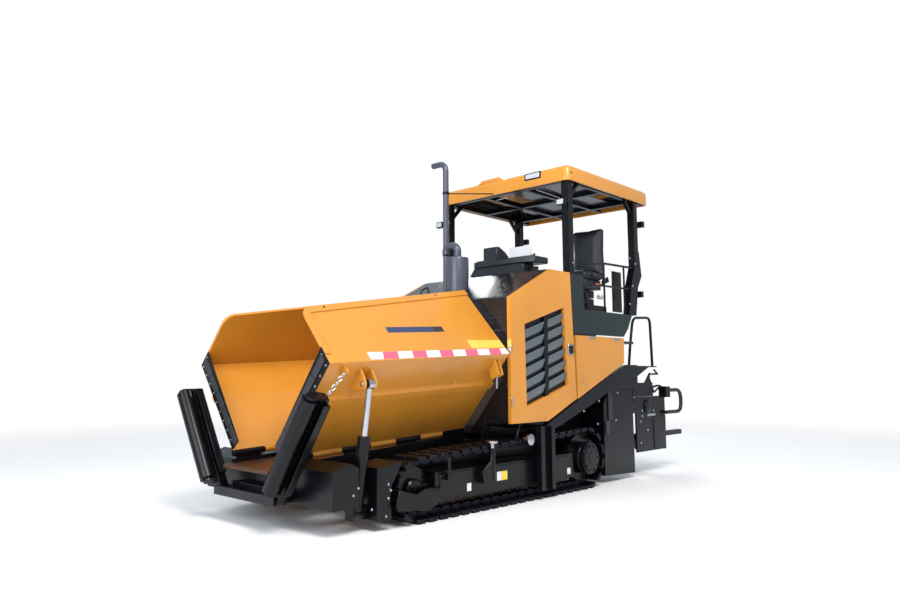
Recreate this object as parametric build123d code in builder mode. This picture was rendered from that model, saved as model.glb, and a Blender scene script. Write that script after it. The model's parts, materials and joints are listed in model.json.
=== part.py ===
"""Compact tracked asphalt paver: tractor unit with folding hopper, push rollers and augers.

Frame: +X forward, +Y to the machine's left, +Z up, origin on the ground under the middle
of the whole machine. Side outlines are drawn on planes whose X starts at the middle of the
tracks' ground contact, so their points read as distance ahead of that middle and height.
"""
import os
from math import atan2, cos, degrees, hypot, pi, radians, sin

from build123d import *

os.makedirs("parts", exist_ok=True)

# ---------------------------------------------------------------- driving dimensions (mm)
track_middle_x = 695        # middle of the ground contact, ahead of the machine's middle
body_half = 950             # centre plane to the outer face of doors and side panels
panel = 40                  # thickness of doors, lids and the operator's side boxes
sheet = 16                  # thickness of hopper, frame and guard plates
gap = 6                     # running gap around everything that moves

# tracks
track_outer = 970           # centre plane to the outer ends of the shoes
track_width = 330
sprocket_x, sprocket_r = -1335, 330      # radius to the tips of the shoes
idler_x, idler_r = 1275, 275
shoe_count = 48
shoe_thick = 34
shoe_length = 118
link_band = 50              # depth of the chain under the shoes
chain_width = 110

# hopper
hopper_front, hopper_rear = 2285, 50     # stations of the wings' ends
hinge_y, hinge_z = 350, 560              # hinge line at the hopper's front end
hinge_slope = 0.052                      # the hinge line climbs towards the rear
fold_out, fold_up = 620, 770             # hinge line to the fold of the wing
lip_lean = radians(131.5)                # direction of the upper wing plate
top_front_z, top_rear_z = 1777, 2112     # top edge of the wing
hinge_tube_r = 28
deck_front_x, floor_z = 2380, 480        # front end of the conveyor deck
sill_half = 14                           # half thickness of the sill under the hinge
deck_half = hinge_y - sill_half
notch_z = floor_z - 62                   # seat of the sills in the front beam
hinge_pin_r = 12
wing_travel = 36                         # degrees the wing lowers

# lift cylinders
cylinder_x = 1850
pivot_y, pivot_z = 800, 140
eye_y, eye_z = 950, 1170
barrel_r, rod_r = 52, 27
barrel_length = 620
ear_thick, ear_rear, ear_front = 18, 36, 60   # gaps behind and ahead of the cylinder's middle
eye_pin_r = 12               # the rod eye is wider, because it drifts as the linkage turns

# push rollers
roller_x, arm_x = 2445, 2335
roller_r = 65
arm_pivot_y, arm_pivot_z = 420, 265
arm_lean = radians(56)
arm_length = 985
arm_box = (78, 92)          # box section: along X, across the arm

# engine bay and operator station
hood_front_x, hood_break_x, hood_rear_x = -35, -705, -1085
hood_low_z, hood_high_z = 2030, 2366
door_low_z = 762
seam_x = -1160              # seam between engine door and rear side panel
station_rear_x = -2530
deck_z = 1640               # operator's floor

# canopy
roof_front_x, roof_rear_x = -1060, -2920
roof_half = 980
roof_low_z, roof_high_z = 3420, 3590
post_front_x, post_rear_x = -1140, -2630
post_y = 900

# rear
unit_y = 860                # outer face of the auger carriers
unit_front_x, unit_rear_x = -2630, -3400
auger_z, auger_x = 430, -3080
auger_r = 180

# ------------------------------------------------------------------------------ helpers
hinge_tilt = atan2(hinge_slope, 1)
hinge_dir = Vector(cos(hinge_tilt), 0, -sin(hinge_tilt))


def side_plane(y):
    """Side view at distance y: local x is forward of the track middle, local y is height."""
    return Plane(origin=(track_middle_x, y, 0), x_dir=(1, 0, 0), z_dir=(0, -1, 0))


def cross_plane(x):
    """Front view at station x: local x is distance to the left, local y is height."""
    return Plane(origin=(track_middle_x + x, 0, 0), x_dir=(0, 1, 0), z_dir=(1, 0, 0))


def level_plane(z):
    """Plan view at height z: local x is forward of the track middle, local y is left."""
    return Plane(origin=(track_middle_x, 0, z))


def block(x, y, z, mode=Mode.ADD):
    """A box between pairs of stations, offsets and heights."""
    centre = (track_middle_x + sum(x) / 2, sum(y) / 2, sum(z) / 2)
    with Locations(centre):
        Box(abs(x[1] - x[0]), abs(y[1] - y[0]), abs(z[1] - z[0]), mode=mode)


def bar_y(x, z, y, radius, mode=Mode.ADD):
    """A round bar across the machine at station x and height z between two offsets."""
    with Locations(Location((track_middle_x + x, sum(y) / 2, z), (90, 0, 0))):
        Cylinder(radius, abs(y[1] - y[0]), mode=mode)


def outline(*points):
    """A closed straight-sided face in the current sketch."""
    Polygon(*points, align=None)


def keep(builder, name):
    """Label a finished piece and write it to its own file."""
    builder.part.label = name
    export_step(builder.part, f"parts/{name}.step")


def keep_pair(builder, name):
    """Write the left piece and its mirror image on the right."""
    keep(builder, f"{name}_left")
    with BuildPart() as other:
        add(mirror(builder.part, about=Plane.XZ))
    keep(other, f"{name}_right")


def both_sides():
    """Repeat what stands in the current part on the other side of the centre plane."""
    mirror(about=Plane.XZ)


# ------------------------------------------------------------------------------ main frame
frame_y = 590
frame_low_z, frame_top_z = 190, 720
beam_rear_x, beam_front_x = 1935, 2190
rear_wall_low_z = 300
with BuildPart() as main_frame:
    with BuildSketch(side_plane(frame_y)):
        outline((beam_rear_x, frame_low_z), (beam_rear_x, 470), (60, 560), (-20, frame_top_z),
                (-1500, frame_top_z), (-1500, 1050),
                (station_rear_x, 1345), (station_rear_x, rear_wall_low_z), (-1800, frame_low_z))
    extrude(amount=sheet)
    both_sides()
    block((station_rear_x, station_rear_x + sheet), (-body_half + 60, body_half - 60), (900, 1345))
    for cross_x in (1500, 700, -300, -1300):
        bar_y(cross_x, 300, (-frame_y + sheet / 2, frame_y - sheet / 2), 60)
    block((-1500, hood_front_x), (-frame_y + 8, frame_y - 8), (640, 640 + sheet))
keep(main_frame, "main_frame")

# ------------------------------------------------------------------- front beam and pushers
beam_half = 930
nose_front_x = arm_x - arm_box[0] / 2 - gap - 17
with BuildPart() as front_beam:
    with BuildSketch(side_plane(beam_half)):
        outline((beam_rear_x, 215), (beam_rear_x, 520), (2030, 560), (beam_front_x, 500),
                (beam_front_x, 215))
    extrude(amount=2 * beam_half)
    slot_half = hinge_y + hinge_tube_r + gap
    block((beam_rear_x, beam_front_x), (-slot_half, slot_half), (notch_z, 600),
          mode=Mode.SUBTRACT)
    block((beam_front_x, nose_front_x), (-360, 360), (215, 330))
keep(front_beam, "front_beam")

# ---------------------------------------------------------------- hopper floor and conveyor
slat_pitch = 160
slat_run = (hopper_rear + 60, hopper_front - 60)
with BuildPart() as conveyor:
    with BuildSketch(side_plane(deck_half)):
        outline((deck_front_x, floor_z - 30), (deck_front_x, floor_z),
                (hopper_rear, floor_z + 95), (-2500, floor_z + 95),
                (-2500, floor_z + 60), (hopper_rear, floor_z + 60))
    extrude(amount=2 * deck_half)
keep(conveyor, "conveyor_deck")


def floor_height(x):
    """Height of the conveyor deck at a station."""
    climb = (x - deck_front_x) / (hopper_rear - deck_front_x)
    return floor_z + 95 * min(1, climb)


# --------------------------------------------------------------------------- hopper wings
def hinge_at(x):
    """Height of the hinge line at a station."""
    return hinge_z + hinge_slope * (hopper_front - x)


def hinge_bar(start, length, radius, mode=Mode.ADD):
    """A round bar on the hinge line from a station towards the front."""
    origin = (track_middle_x + start, hinge_y, hinge_at(start))
    with BuildSketch(Plane(origin=origin, x_dir=(0, 1, 0), z_dir=hinge_dir)) as disc:
        Circle(radius)
    extrude(disc.sketch, amount=length / cos(hinge_tilt), mode=mode)


def wing_section(x, long_side):
    """Bent plate of the wing in front view: floor plate, fold and leaning side plate."""
    base = Vector(hinge_y, hinge_at(x))
    fold = base + Vector(fold_out, fold_up)
    tip = fold + Vector(cos(lip_lean), sin(lip_lean)) * long_side
    floor_dir = (fold - base).normalized()
    floor_in = Vector(-floor_dir.Y, floor_dir.X)
    lip_in = Vector(-sin(lip_lean), cos(lip_lean))
    bisector = (floor_in + lip_in).normalized()
    inner = fold + bisector * (sheet / floor_in.dot(bisector))
    return base, fold, tip, tip + lip_in * sheet, inner, base + floor_in * sheet


wing_length = (hopper_front - hopper_rear) / cos(hinge_tilt)
side_plate = (top_rear_z - hinge_at(hopper_rear) - fold_up) / sin(lip_lean) + 40
rib_along = 0.62
knuckles = 7
knuckle_length = (hopper_front - hopper_rear) / knuckles
with BuildPart() as wing:
    with BuildSketch(cross_plane(hopper_rear)):
        outline(*[(p.X, p.Y) for p in wing_section(hopper_rear, side_plate)])
    extrude(amount=wing_length, dir=hinge_dir)
    # the top edge falls towards the front and ends in a round corner
    with BuildSketch(side_plane(body_half)):
        outline((hopper_front + 100, 2400), (hopper_rear - 100, 2400),
                (hopper_rear - 100, top_rear_z + 15), (hopper_front + 100, top_front_z - 15))
    extrude(amount=body_half, mode=Mode.SUBTRACT)
    # stiffening channel along the outside of the floor plate
    base, fold, *_ = wing_section(hopper_rear, side_plate)
    floor_dir = (fold - base).normalized()
    floor_out = Vector(floor_dir.Y, -floor_dir.X)
    rib_low = base + floor_dir * (rib_along * (fold - base).length - 45)
    rib_high = rib_low + floor_dir * 90
    with BuildSketch(cross_plane(hopper_rear)):
        outline(*[(p.X, p.Y) for p in (rib_low - floor_out * 2, rib_low + floor_out * 28,
                                       rib_high + floor_out * 28, rib_high - floor_out * 2)])
    extrude(amount=wing_length, dir=hinge_dir)
    # cylinder ears, spaced for the eye's slide along the pin as the wing turns on its tilted hinge
    for inner, outer in ((ear_front, ear_front + ear_thick), (-ear_rear - ear_thick, -ear_rear)):
        with BuildSketch(cross_plane(cylinder_x + inner)):
            outline((eye_y - 90, eye_z + 135), (eye_y - 150, eye_z + 10), (eye_y - 110, eye_z - 45),
                    (eye_y + 40, eye_z - 30), (eye_y + 40, eye_z + 30))
        extrude(amount=outer - inner)
    with BuildSketch(Plane(origin=(track_middle_x + cylinder_x - ear_rear - ear_thick, eye_y, eye_z),
                           x_dir=(0, 1, 0), z_dir=(1, 0, 0))):
        Circle(eye_pin_r)
    extrude(amount=ear_rear + ear_front + 2 * ear_thick)
    # every second hinge knuckle turns with the wing
    for index in range(1, knuckles, 2):
        start = hopper_rear + index * knuckle_length
        hinge_bar(start + gap / 2, knuckle_length - gap, hinge_tube_r)
    # notches in the plate around the fixed knuckles
    for index in range(0, knuckles, 2):
        start = hopper_rear + index * knuckle_length
        hinge_bar(start - gap / 2, knuckle_length + gap, hinge_tube_r + gap, Mode.SUBTRACT)
    hinge_bar(hopper_rear - gap, hopper_front - hopper_rear + 2 * gap, hinge_pin_r + 0.3,
              Mode.SUBTRACT)
keep_pair(wing, "hopper_wing")

with BuildPart() as hinge_sleeves:
    for index in range(0, knuckles, 2):
        start = hopper_rear + index * knuckle_length
        hinge_bar(start + gap / 2, knuckle_length - gap, hinge_tube_r)
        block((start + 40, start + knuckle_length - 40), (hinge_y - 12, hinge_y + 12),
              (floor_z + 20, hinge_at(start) - 10))
    # sill that carries the sleeves
    with BuildSketch(side_plane(hinge_y + sill_half)):
        outline((hopper_front, notch_z), (hopper_front, hinge_at(hopper_front) - 45),
                (hopper_rear, hinge_at(hopper_rear) - 45), (hopper_rear, notch_z))
    extrude(amount=2 * sill_half)
    hinge_bar(hopper_rear + gap, hopper_front - hopper_rear - 2 * gap, hinge_pin_r)
    both_sides()
keep(hinge_sleeves, "hinge_sills")

# flaps along the front edge of each wing
flap_count = 5
flap_depth = 95
with BuildPart() as flaps:
    base, fold, *_ = wing_section(hopper_front - sheet, side_plate)
    floor_dir = (fold - base).normalized()
    floor_in = Vector(-floor_dir.Y, floor_dir.X)
    flap_start, flap_end = 38, (fold - base).length - 30
    run = (flap_end - flap_start) / flap_count
    for index in range(flap_count):
        low = base + floor_dir * (flap_start + index * run) + floor_in * sheet
        high = base + floor_dir * (flap_start + (index + 1) * run - 3) + floor_in * sheet
        with BuildSketch(cross_plane(hopper_front - sheet)):
            outline(*[(p.X, p.Y) for p in (low + floor_in * 0.3, high + floor_in * 0.3,
                                           high + floor_in * flap_depth, low + floor_in * flap_depth)])
        extrude(amount=sheet / cos(hinge_tilt), dir=hinge_dir)
keep_pair(flaps, "wing_flap")

# ------------------------------------------------------------------------- lift cylinders
barrel_dir = Vector(0, eye_y - pivot_y, eye_z - pivot_z)
cylinder_length = barrel_dir.length
barrel_dir = barrel_dir.normalized()
pivot_point = Vector(track_middle_x + cylinder_x, pivot_y, pivot_z)
eye_r, eye_hole_r = 42, 30
barrel_plane = Plane(origin=pivot_point, x_dir=(1, 0, 0), z_dir=barrel_dir)
with BuildPart() as barrel:
    with BuildSketch(barrel_plane.offset(45)):
        Circle(barrel_r)
    extrude(amount=barrel_length - 45)
    with BuildSketch(barrel_plane.offset(barrel_length - 60)):
        Circle(rod_r + 0.3)
    extrude(amount=60, mode=Mode.SUBTRACT)
    with BuildSketch(barrel_plane.offset(45)):
        Circle(rod_r + 0.3)
    extrude(amount=barrel_length - 45, mode=Mode.SUBTRACT)
    with BuildSketch(barrel_plane.offset(30)):
        Circle(barrel_r)
    extrude(amount=30)
    with Locations(Location(pivot_point, (0, 90, 0))):
        Cylinder(45, 2 * barrel_r)
        Cylinder(16.5, 2 * barrel_r, mode=Mode.SUBTRACT)
keep_pair(barrel, "lift_barrel")

rod_inside = 400
with BuildPart() as rod:
    with BuildSketch(barrel_plane.offset(cylinder_length - 420)):
        Circle(rod_r)
    extrude(amount=420 - eye_r + 8)
    with Locations(Location((track_middle_x + cylinder_x, eye_y, eye_z), (0, 90, 0))):
        Cylinder(eye_r, 60)
        Cylinder(eye_hole_r, 60, mode=Mode.SUBTRACT)
keep_pair(rod, "lift_rod")

# brackets under the barrels on the front beam
with BuildPart() as cylinder_feet:
    with Locations(Location(pivot_point, (0, 90, 0))):
        Cylinder(16, 2 * (barrel_r + gap + 16))
    for ear in (-1, 1):
        ear_x = cylinder_x + ear * (barrel_r + gap + 8)
        block((ear_x - 8, ear_x + 8), (pivot_y - 45, pivot_y + 45), (pivot_z - 45, pivot_z + 60))
    block((cylinder_x + barrel_r + gap, beam_rear_x), (pivot_y - 45, pivot_y + 45), (pivot_z + 20, pivot_z + 120))
    both_sides()
keep(cylinder_feet, "cylinder_feet")

# ------------------------------------------------------------------- push arms and rollers
arm_dir = Vector(0, cos(arm_lean), sin(arm_lean))
arm_origin = Vector(track_middle_x + arm_x, arm_pivot_y, arm_pivot_z)
arm_plane = Plane(origin=arm_origin, x_dir=(1, 0, 0), z_dir=arm_dir)
roller_reach = roller_x - arm_x
roller_start, roller_end = 100, 965
with BuildPart() as push_arm:
    with BuildSketch(arm_plane.offset(-20)):
        Rectangle(*arm_box)
    extrude(amount=arm_length + 20)
    with Locations(Location(arm_origin, (0, 90, 0))):
        Cylinder(48, arm_box[0])
        Cylinder(20, arm_box[0] + 20, mode=Mode.SUBTRACT)
    for station in (roller_start - 22 - gap, roller_end + gap):
        with BuildSketch(arm_plane.offset(station)):
            with Locations((roller_reach / 2, 0)):
                SlotCenterToCenter(roller_reach, 84)
        extrude(amount=22)
    for station in (roller_start - gap - 1, roller_end - 25):
        with BuildSketch(arm_plane.offset(station)):
            with Locations((roller_reach, 0)):
                Circle(18)
        extrude(amount=26 + gap)
keep_pair(push_arm, "push_arm")

with BuildPart() as push_roller:
    with BuildSketch(arm_plane.offset(roller_start)):
        with Locations((roller_reach, 0)):
            Circle(roller_r)
            Circle(18.4, mode=Mode.SUBTRACT)
    extrude(amount=roller_end - roller_start)
keep_pair(push_roller, "push_roller")

with BuildPart() as push_mount:
    with Locations(Location(arm_origin, (0, 90, 0))):
        Cylinder(19.6, arm_box[0] + 2 * (gap + 17))
    for ear in (-1, 1):
        ear_x = arm_x + ear * (arm_box[0] / 2 + gap + 9)
        block((ear_x - 8, ear_x + 8), (arm_pivot_y - 130, arm_pivot_y + 30),
              (arm_pivot_z - 45, arm_pivot_z + 30))
    block((nose_front_x, arm_x + arm_box[0] / 2 + gap + 17), (0, arm_pivot_y - 110),
          (arm_pivot_z - 45, arm_pivot_z + 30))
    both_sides()
keep(push_mount, "push_mount")

# ------------------------------------------------------------------------------ tracks
belt = [   # centre x, centre z, radius to the shoe tips
    (idler_x, idler_r, idler_r),
    (sprocket_x, sprocket_r, sprocket_r),
]
band_mid = shoe_thick + link_band / 2


def belt_path(inset):
    """Lines and arcs of the track loop, inset from the shoe tips, clockwise from below."""
    span = idler_x - sprocket_x
    tilt = atan2(sprocket_r - idler_r, span)
    r_front, r_rear = idler_r - inset, sprocket_r - inset
    slant = hypot(span, sprocket_r - idler_r)
    top = slant * cos(atan2(sprocket_r - idler_r, slant))
    # the lower run is level; the upper run is tangent to both circles
    lean = 2 * tilt
    return [
        ("line", Vector(sprocket_x, inset), Vector(1, 0), span),
        ("arc", Vector(idler_x, idler_r), r_front, -pi / 2, pi / 2 + pi / 2 - lean),
        ("line", Vector(idler_x, idler_r) + Vector(sin(lean), cos(lean)) * r_front,
         Vector(-cos(lean), sin(lean)), span),
        ("arc", Vector(sprocket_x, sprocket_r), r_rear, pi / 2 - lean, pi + lean),
    ]


def belt_stations(inset, count):
    """Evenly spaced points on the loop with the outward direction at each, in radians."""
    runs = belt_path(inset)
    lengths = [run[3] if run[0] == "line" else run[2] * run[4] for run in runs]
    step = sum(lengths) / count
    stations = []
    for index in range(count):
        s = (index + 0.5) * step
        for run, length in zip(runs, lengths):
            if s < length:
                break
            s -= length
        if run[0] == "line":
            point = run[1] + run[2] * s
            outward = atan2(-run[2].X, run[2].Y)
        else:
            outward = run[3] + s / run[2]
            point = run[1] + Vector(cos(outward), sin(outward)) * run[2]
        stations.append((point, outward))
    return stations


def belt_ring(outer, inner):
    """Closed band between two insets of the loop, drawn in the current sketch."""
    for inset, mode in ((outer, Mode.ADD), (inner, Mode.SUBTRACT)):
        with BuildSketch(mode=Mode.PRIVATE) as filled:
            with Locations((sprocket_x, sprocket_r)):
                Circle(sprocket_r - inset)
            with Locations((idler_x, idler_r)):
                Circle(idler_r - inset)
            make_hull()
        add(filled.sketch, mode=mode)


with BuildPart() as track:
    mid_y = track_outer - track_width / 2
    with BuildSketch(side_plane(mid_y + chain_width / 2)):
        belt_ring(shoe_thick - 8, shoe_thick + link_band)
    extrude(amount=chain_width)
    with BuildSketch(side_plane(track_outer)):
        for point, outward in belt_stations(shoe_thick / 2, shoe_count):
            with Locations(Location((point.X, point.Y, 0), (0, 0, degrees(outward) - 90))):
                Trapezoid(shoe_length, shoe_thick, 75)
    extrude(amount=track_width)
keep_pair(track, "track")

frame_front_x, frame_rear_x = 1075, -1080
with BuildPart() as track_frames:
    block((frame_rear_x, frame_front_x), (track_outer - 36, track_outer - track_width + 20), (150, 400))
    block((-900, 900), (track_outer - track_width + 22, frame_y), (230, 360))
    both_sides()
keep(track_frames, "track_frames")

hub_r = 168
wheel_width = 90
with BuildPart() as track_wheels:
    mid = (mid_y - wheel_width / 2, mid_y + wheel_width / 2)
    bar_y(sprocket_x, sprocket_r, mid, sprocket_r - shoe_thick - link_band - 0.3)
    bar_y(sprocket_x, sprocket_r, (mid[0], track_outer + 25), hub_r)
    bar_y(sprocket_x, sprocket_r, (frame_y, mid[0]), 120)
    bar_y(idler_x, idler_r, mid, idler_r - shoe_thick - link_band - 0.3)
    bar_y(idler_x, idler_r, (mid[0] - 40, mid[1] + 40), 60)
    for y in (mid[0] - 30, mid[1] + 10):
        block((frame_front_x, idler_x), (y, y + 20), (idler_r - 35, idler_r + 35))
    both_sides()
keep(track_wheels, "track_wheels")

# ------------------------------------------------------------------- guards, rails, braces
with BuildPart() as track_guards:
    with BuildSketch(side_plane(body_half)):
        outline((1760, 90), (1760, 500), (1480, 530), (1610, 330), (1600, 70))
    extrude(amount=320)
    block((1700, beam_rear_x), (body_half - 320, body_half - 320 + sheet), (300, 480))
    both_sides()
keep(track_guards, "track_guards")

rail_x = (-590, -350)
with BuildPart() as tow_rails:
    for x in ((rail_x[0], rail_x[0] + 60), (rail_x[1] - 60, rail_x[1])):
        block(x, (track_outer + 10, track_outer + 75), (95, 720))
    block(rail_x, (track_outer + 10, track_outer + 30), (95, 720))
    block(rail_x, (frame_y, track_outer + 30), (frame_top_z - 30, frame_top_z))
    both_sides()
keep(tow_rails, "tow_rails")

with BuildPart() as side_braces:
    with BuildSketch(side_plane(body_half)):
        outline((-595, 728), (-1190, 962), (-2222, 1352), (station_rear_x, 1354),
                (station_rear_x, 1060), (-1895, 1060), (-1430, 894), (-793, 695), (-640, 660))
    extrude(amount=60)
    both_sides()
keep(side_braces, "side_braces")

with BuildPart() as skirts:
    with BuildSketch(side_plane(900)):
        outline((-2480, 60), (-2480, 1056), (-1905, 1056), (-1800, 900), (-1790, 85))
    extrude(amount=sheet)
    block((-1830, -1800), (frame_y, 900 - sheet), (85, 900))
    both_sides()
keep(skirts, "rear_skirts")

# --------------------------------------------------------------- engine bay: block and hood
with BuildPart() as engine:
    block((-1000, -160), (-360, 360), (656, 1650))
keep(engine, "engine_block")

hood_half = body_half - panel - gap
with BuildPart() as hood:
    with BuildSketch(side_plane(hood_half)):
        outline((hood_front_x, 656), (hood_front_x, hood_low_z), (hood_break_x, hood_high_z),
                (hood_rear_x, hood_high_z), (hood_rear_x, 960),
                (hood_rear_x + sheet, 960), (hood_rear_x + sheet, hood_high_z - sheet),
                (hood_break_x, hood_high_z - sheet),
                (hood_front_x - sheet, hood_low_z - sheet), (hood_front_x - sheet, 656))
    extrude(amount=2 * hood_half)
    for y in ((frame_y - sheet, hood_half), (-hood_half, sheet - frame_y)):
        block((hood_front_x - 2 * sheet, hood_front_x + sheet), y, (650, 780), mode=Mode.SUBTRACT)
keep(hood, "engine_hood")

door_top_front, door_top_break = 2012, 2362
grille_hole = ((-250, 920), (-232, 1750), (-946, 1963), (-1000, 1130))
with BuildPart() as door:
    with BuildSketch(side_plane(body_half)):
        outline((hood_front_x + 40, door_low_z), (hood_front_x + 40, door_top_front),
                (hood_break_x, door_top_break), (hood_rear_x, door_top_break),
                (seam_x, 975), (-612, door_low_z))
    extrude(amount=panel)
    with BuildSketch(side_plane(body_half)):
        outline(*grille_hole)
    extrude(amount=panel, mode=Mode.SUBTRACT)
keep_pair(door, "engine_door")

slat_count = 6
with BuildPart() as grille:
    with BuildSketch(side_plane(body_half - 10)):
        with BuildSketch(mode=Mode.PRIVATE) as hole:
            outline(*grille_hole)
        offset(hole.sketch, amount=-0.5)
        offset(hole.sketch, amount=-14, mode=Mode.SUBTRACT)
    extrude(amount=panel - 12)
    for index in range(slat_count):
        z = 975 + index * 140
        with BuildSketch(side_plane(body_half - 10)):
            outline((-230, z), (-230, z + 70), (-1010, z + 300), (-1010, z + 230))
            add(offset(hole.sketch, amount=-10, mode=Mode.PRIVATE), mode=Mode.INTERSECT)
        extrude(amount=panel - 20)
    with BuildSketch(side_plane(body_half - 24)):
        outline((-600, 900), (-600, 2000), (-630, 2000), (-630, 900))
        add(offset(hole.sketch, amount=-10, mode=Mode.PRIVATE), mode=Mode.INTERSECT)
    extrude(amount=panel - 34)
keep_pair(grille, "door_grille")

with BuildPart() as rear_panel:
    with BuildSketch(side_plane(body_half)):
        outline((seam_x - gap - 4, 1672), (-2228, 1672), (-2215, 1372), (seam_x - gap - 22, 975))
    extrude(amount=panel)
keep_pair(rear_panel, "rear_panel")

with BuildPart() as tank:
    block((-2200, -1220), (sheet - frame_y, frame_y - sheet), (1000, deck_z - 30))
keep(tank, "tank_block")

# ------------------------------------------------------------------------ operator station
with BuildPart() as platform:
    block((station_rear_x, hood_rear_x - sheet), (-body_half + panel, body_half - panel),
          (deck_z - 30, deck_z))
keep(platform, "platform")

box_top_z = 1966
with BuildPart() as side_boxes:
    with BuildSketch(side_plane(body_half)):
        outline((-1130, 1690), (-1095, 2355), (-1353, 2355), (-1353, 1690))
    extrude(amount=250)
    block((-1353, -1130), (body_half - 250, body_half - panel), (deck_z, 1690))
    with BuildSketch(side_plane(body_half)):
        outline((-1353, 1690), (-1353, box_top_z), (-2452, box_top_z), (-2338, 1790),
                (-2229, 1690))
    extrude(amount=panel)
    both_sides()
keep(side_boxes, "side_boxes")

with BuildPart() as seat_base:
    block((-1960, -1560), (300, 700), (deck_z, deck_z + 400))
keep(seat_base, "seat_base")

with BuildPart() as seat:
    block((-1980, -1520), (250, 750), (deck_z + 400.5, deck_z + 520))
    block((-2060, -1960), (260, 740), (deck_z + 520, deck_z + 1150))
keep(seat, "seat")

with BuildPart() as console:
    block((-1300, -1110), (-500, 700), (2366, 2470))
    block((-1290, -1130), (100, 500), (2470, 2640))
    block((-1290, -1110), (-300, 300), (deck_z, 2366))
keep(console, "console")

# --------------------------------------------------------------------------------- canopy
with BuildPart() as roof:
    block((roof_rear_x, roof_front_x), (-roof_half, roof_half), (roof_low_z, roof_high_z))
    block((roof_rear_x + 25, roof_front_x - 25), (-roof_half + 25, roof_half - 25),
          (roof_low_z - 1, roof_high_z - 25), mode=Mode.SUBTRACT)
keep(roof, "canopy_roof")

with BuildPart() as roof_frame:
    for y in (-post_y, -300, 300, post_y):
        block((roof_rear_x + 80, roof_front_x - 60), (y - 25, y + 25), (roof_low_z, roof_low_z + 60))
    for x in (post_front_x, -1900, post_rear_x):
        block((x - 30, x + 30), (-roof_half + 60, roof_half - 60), (roof_low_z, roof_low_z + 60))
    for x in (post_front_x, post_rear_x):
        for y in (-post_y, post_y):
            block((x - 20, x + 20), (y - 20, y + 20), (roof_low_z + 55, roof_high_z - 25))
keep(roof_frame, "roof_frame")

with BuildPart() as posts:
    block((post_front_x - 45, post_front_x + 45), (post_y - 45, post_y + 45), (2355, roof_low_z))
    block((post_rear_x - 45, post_rear_x + 45), (post_y - 45, post_y + 45), (2700, roof_low_z))
    with BuildSketch(side_plane(post_y + 45)):
        outline((-2580, 2790), (-2690, 2790), (-2740, 2480), (-2640, 2330), (-2570, box_top_z),
                (-2400, box_top_z), (-2470, 2330), (-2580, 2600))
    extrude(amount=90)
    both_sides()
keep(posts, "canopy_posts")

# -------------------------------------------------------------------------------- exhaust
muffler_x, muffler_y, muffler_r = -300, -15, 100
pipe_x, pipe_y, pipe_r = -300, -197, 32
with BuildPart() as exhaust:
    with BuildSketch(level_plane(2150)):
        with Locations((muffler_x, muffler_y)):
            Circle(muffler_r)
    extrude(amount=360)
    with BuildSketch(side_plane(400)):
        outline((hood_front_x, 2000), (hood_front_x, hood_low_z), (hood_break_x, hood_high_z),
                (hood_break_x, 2000))
    extrude(amount=800, mode=Mode.SUBTRACT)
    block((pipe_x - 30, pipe_x + 30), (pipe_y, muffler_y), (2520 - 20, 2520 + 40))
    with BuildSketch(level_plane(2500)):
        with Locations((pipe_x, pipe_y)):
            Circle(pipe_r)
    extrude(amount=1220)
keep(exhaust, "exhaust")

# -------------------------------------------------------------------------------- handrails
with BuildPart() as handrails:
    for z in (1970, 2180, 2330):
        block((-2400, -1500), (body_half - 35, body_half - 5), (z, z + 30))
    for x in (-2400, -1500):
        block((x, x + 30), (body_half - 35, body_half - 5), (1971, 2360))
    both_sides()
keep(handrails, "handrails")

# ------------------------------------------------------------------------ rear auger unit
journal_r = 20
with BuildPart() as auger_mount:
    block((unit_rear_x, unit_front_x), (unit_y - 20, unit_y), (280, 960))
    block((-3860, unit_rear_x), (unit_y - 60, unit_y), (440, 500))
    both_sides()
    block((-2700, station_rear_x), (-unit_y, unit_y), (760, 940))
    block((auger_x - 60, auger_x + 60), (-50, 50), (auger_z - 120, 940))
    block((auger_x - 60, -2600), (-50, 50), (780, 940))
    for y in ((-80, 80), (unit_y - 60, unit_y), (-unit_y, 60 - unit_y)):
        bar_y(auger_x, auger_z, y, journal_r)
keep(auger_mount, "auger_mount")

flight_step = 30
flight_pitch = 240
with BuildPart() as auger:
    bar_y(auger_x, auger_z, (50 + gap, unit_y - 20 - gap), 45)
    bar_y(auger_x, auger_z, (50, 90), journal_r + 0.3, mode=Mode.SUBTRACT)
    bar_y(auger_x, auger_z, (unit_y - 70, unit_y), journal_r + 0.3, mode=Mode.SUBTRACT)
    count = 26
    for index in range(count):
        angle = index * flight_step
        y = 90 + index * (unit_y - 150 - 90) / (count - 1)
        lead = degrees(atan2(flight_pitch, 2 * pi * 110))
        with Locations(Location((track_middle_x + auger_x, y, auger_z), (0, angle, 0))):
            with Locations(Location((0, 0, 105), (0, 0, lead))):
                Box(62, 12, 150)
keep_pair(auger, "auger")
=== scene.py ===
# %% [markdown]
# # Compact tracked paver: surfaces, small parts, light and camera
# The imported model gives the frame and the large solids. Every cell below dresses it, in metres,
# where it stands: finishes for the solids, then finer pieces that replace or join them. Each added
# piece is told which body it rides on, so that it follows the joints.

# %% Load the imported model
import json

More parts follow.
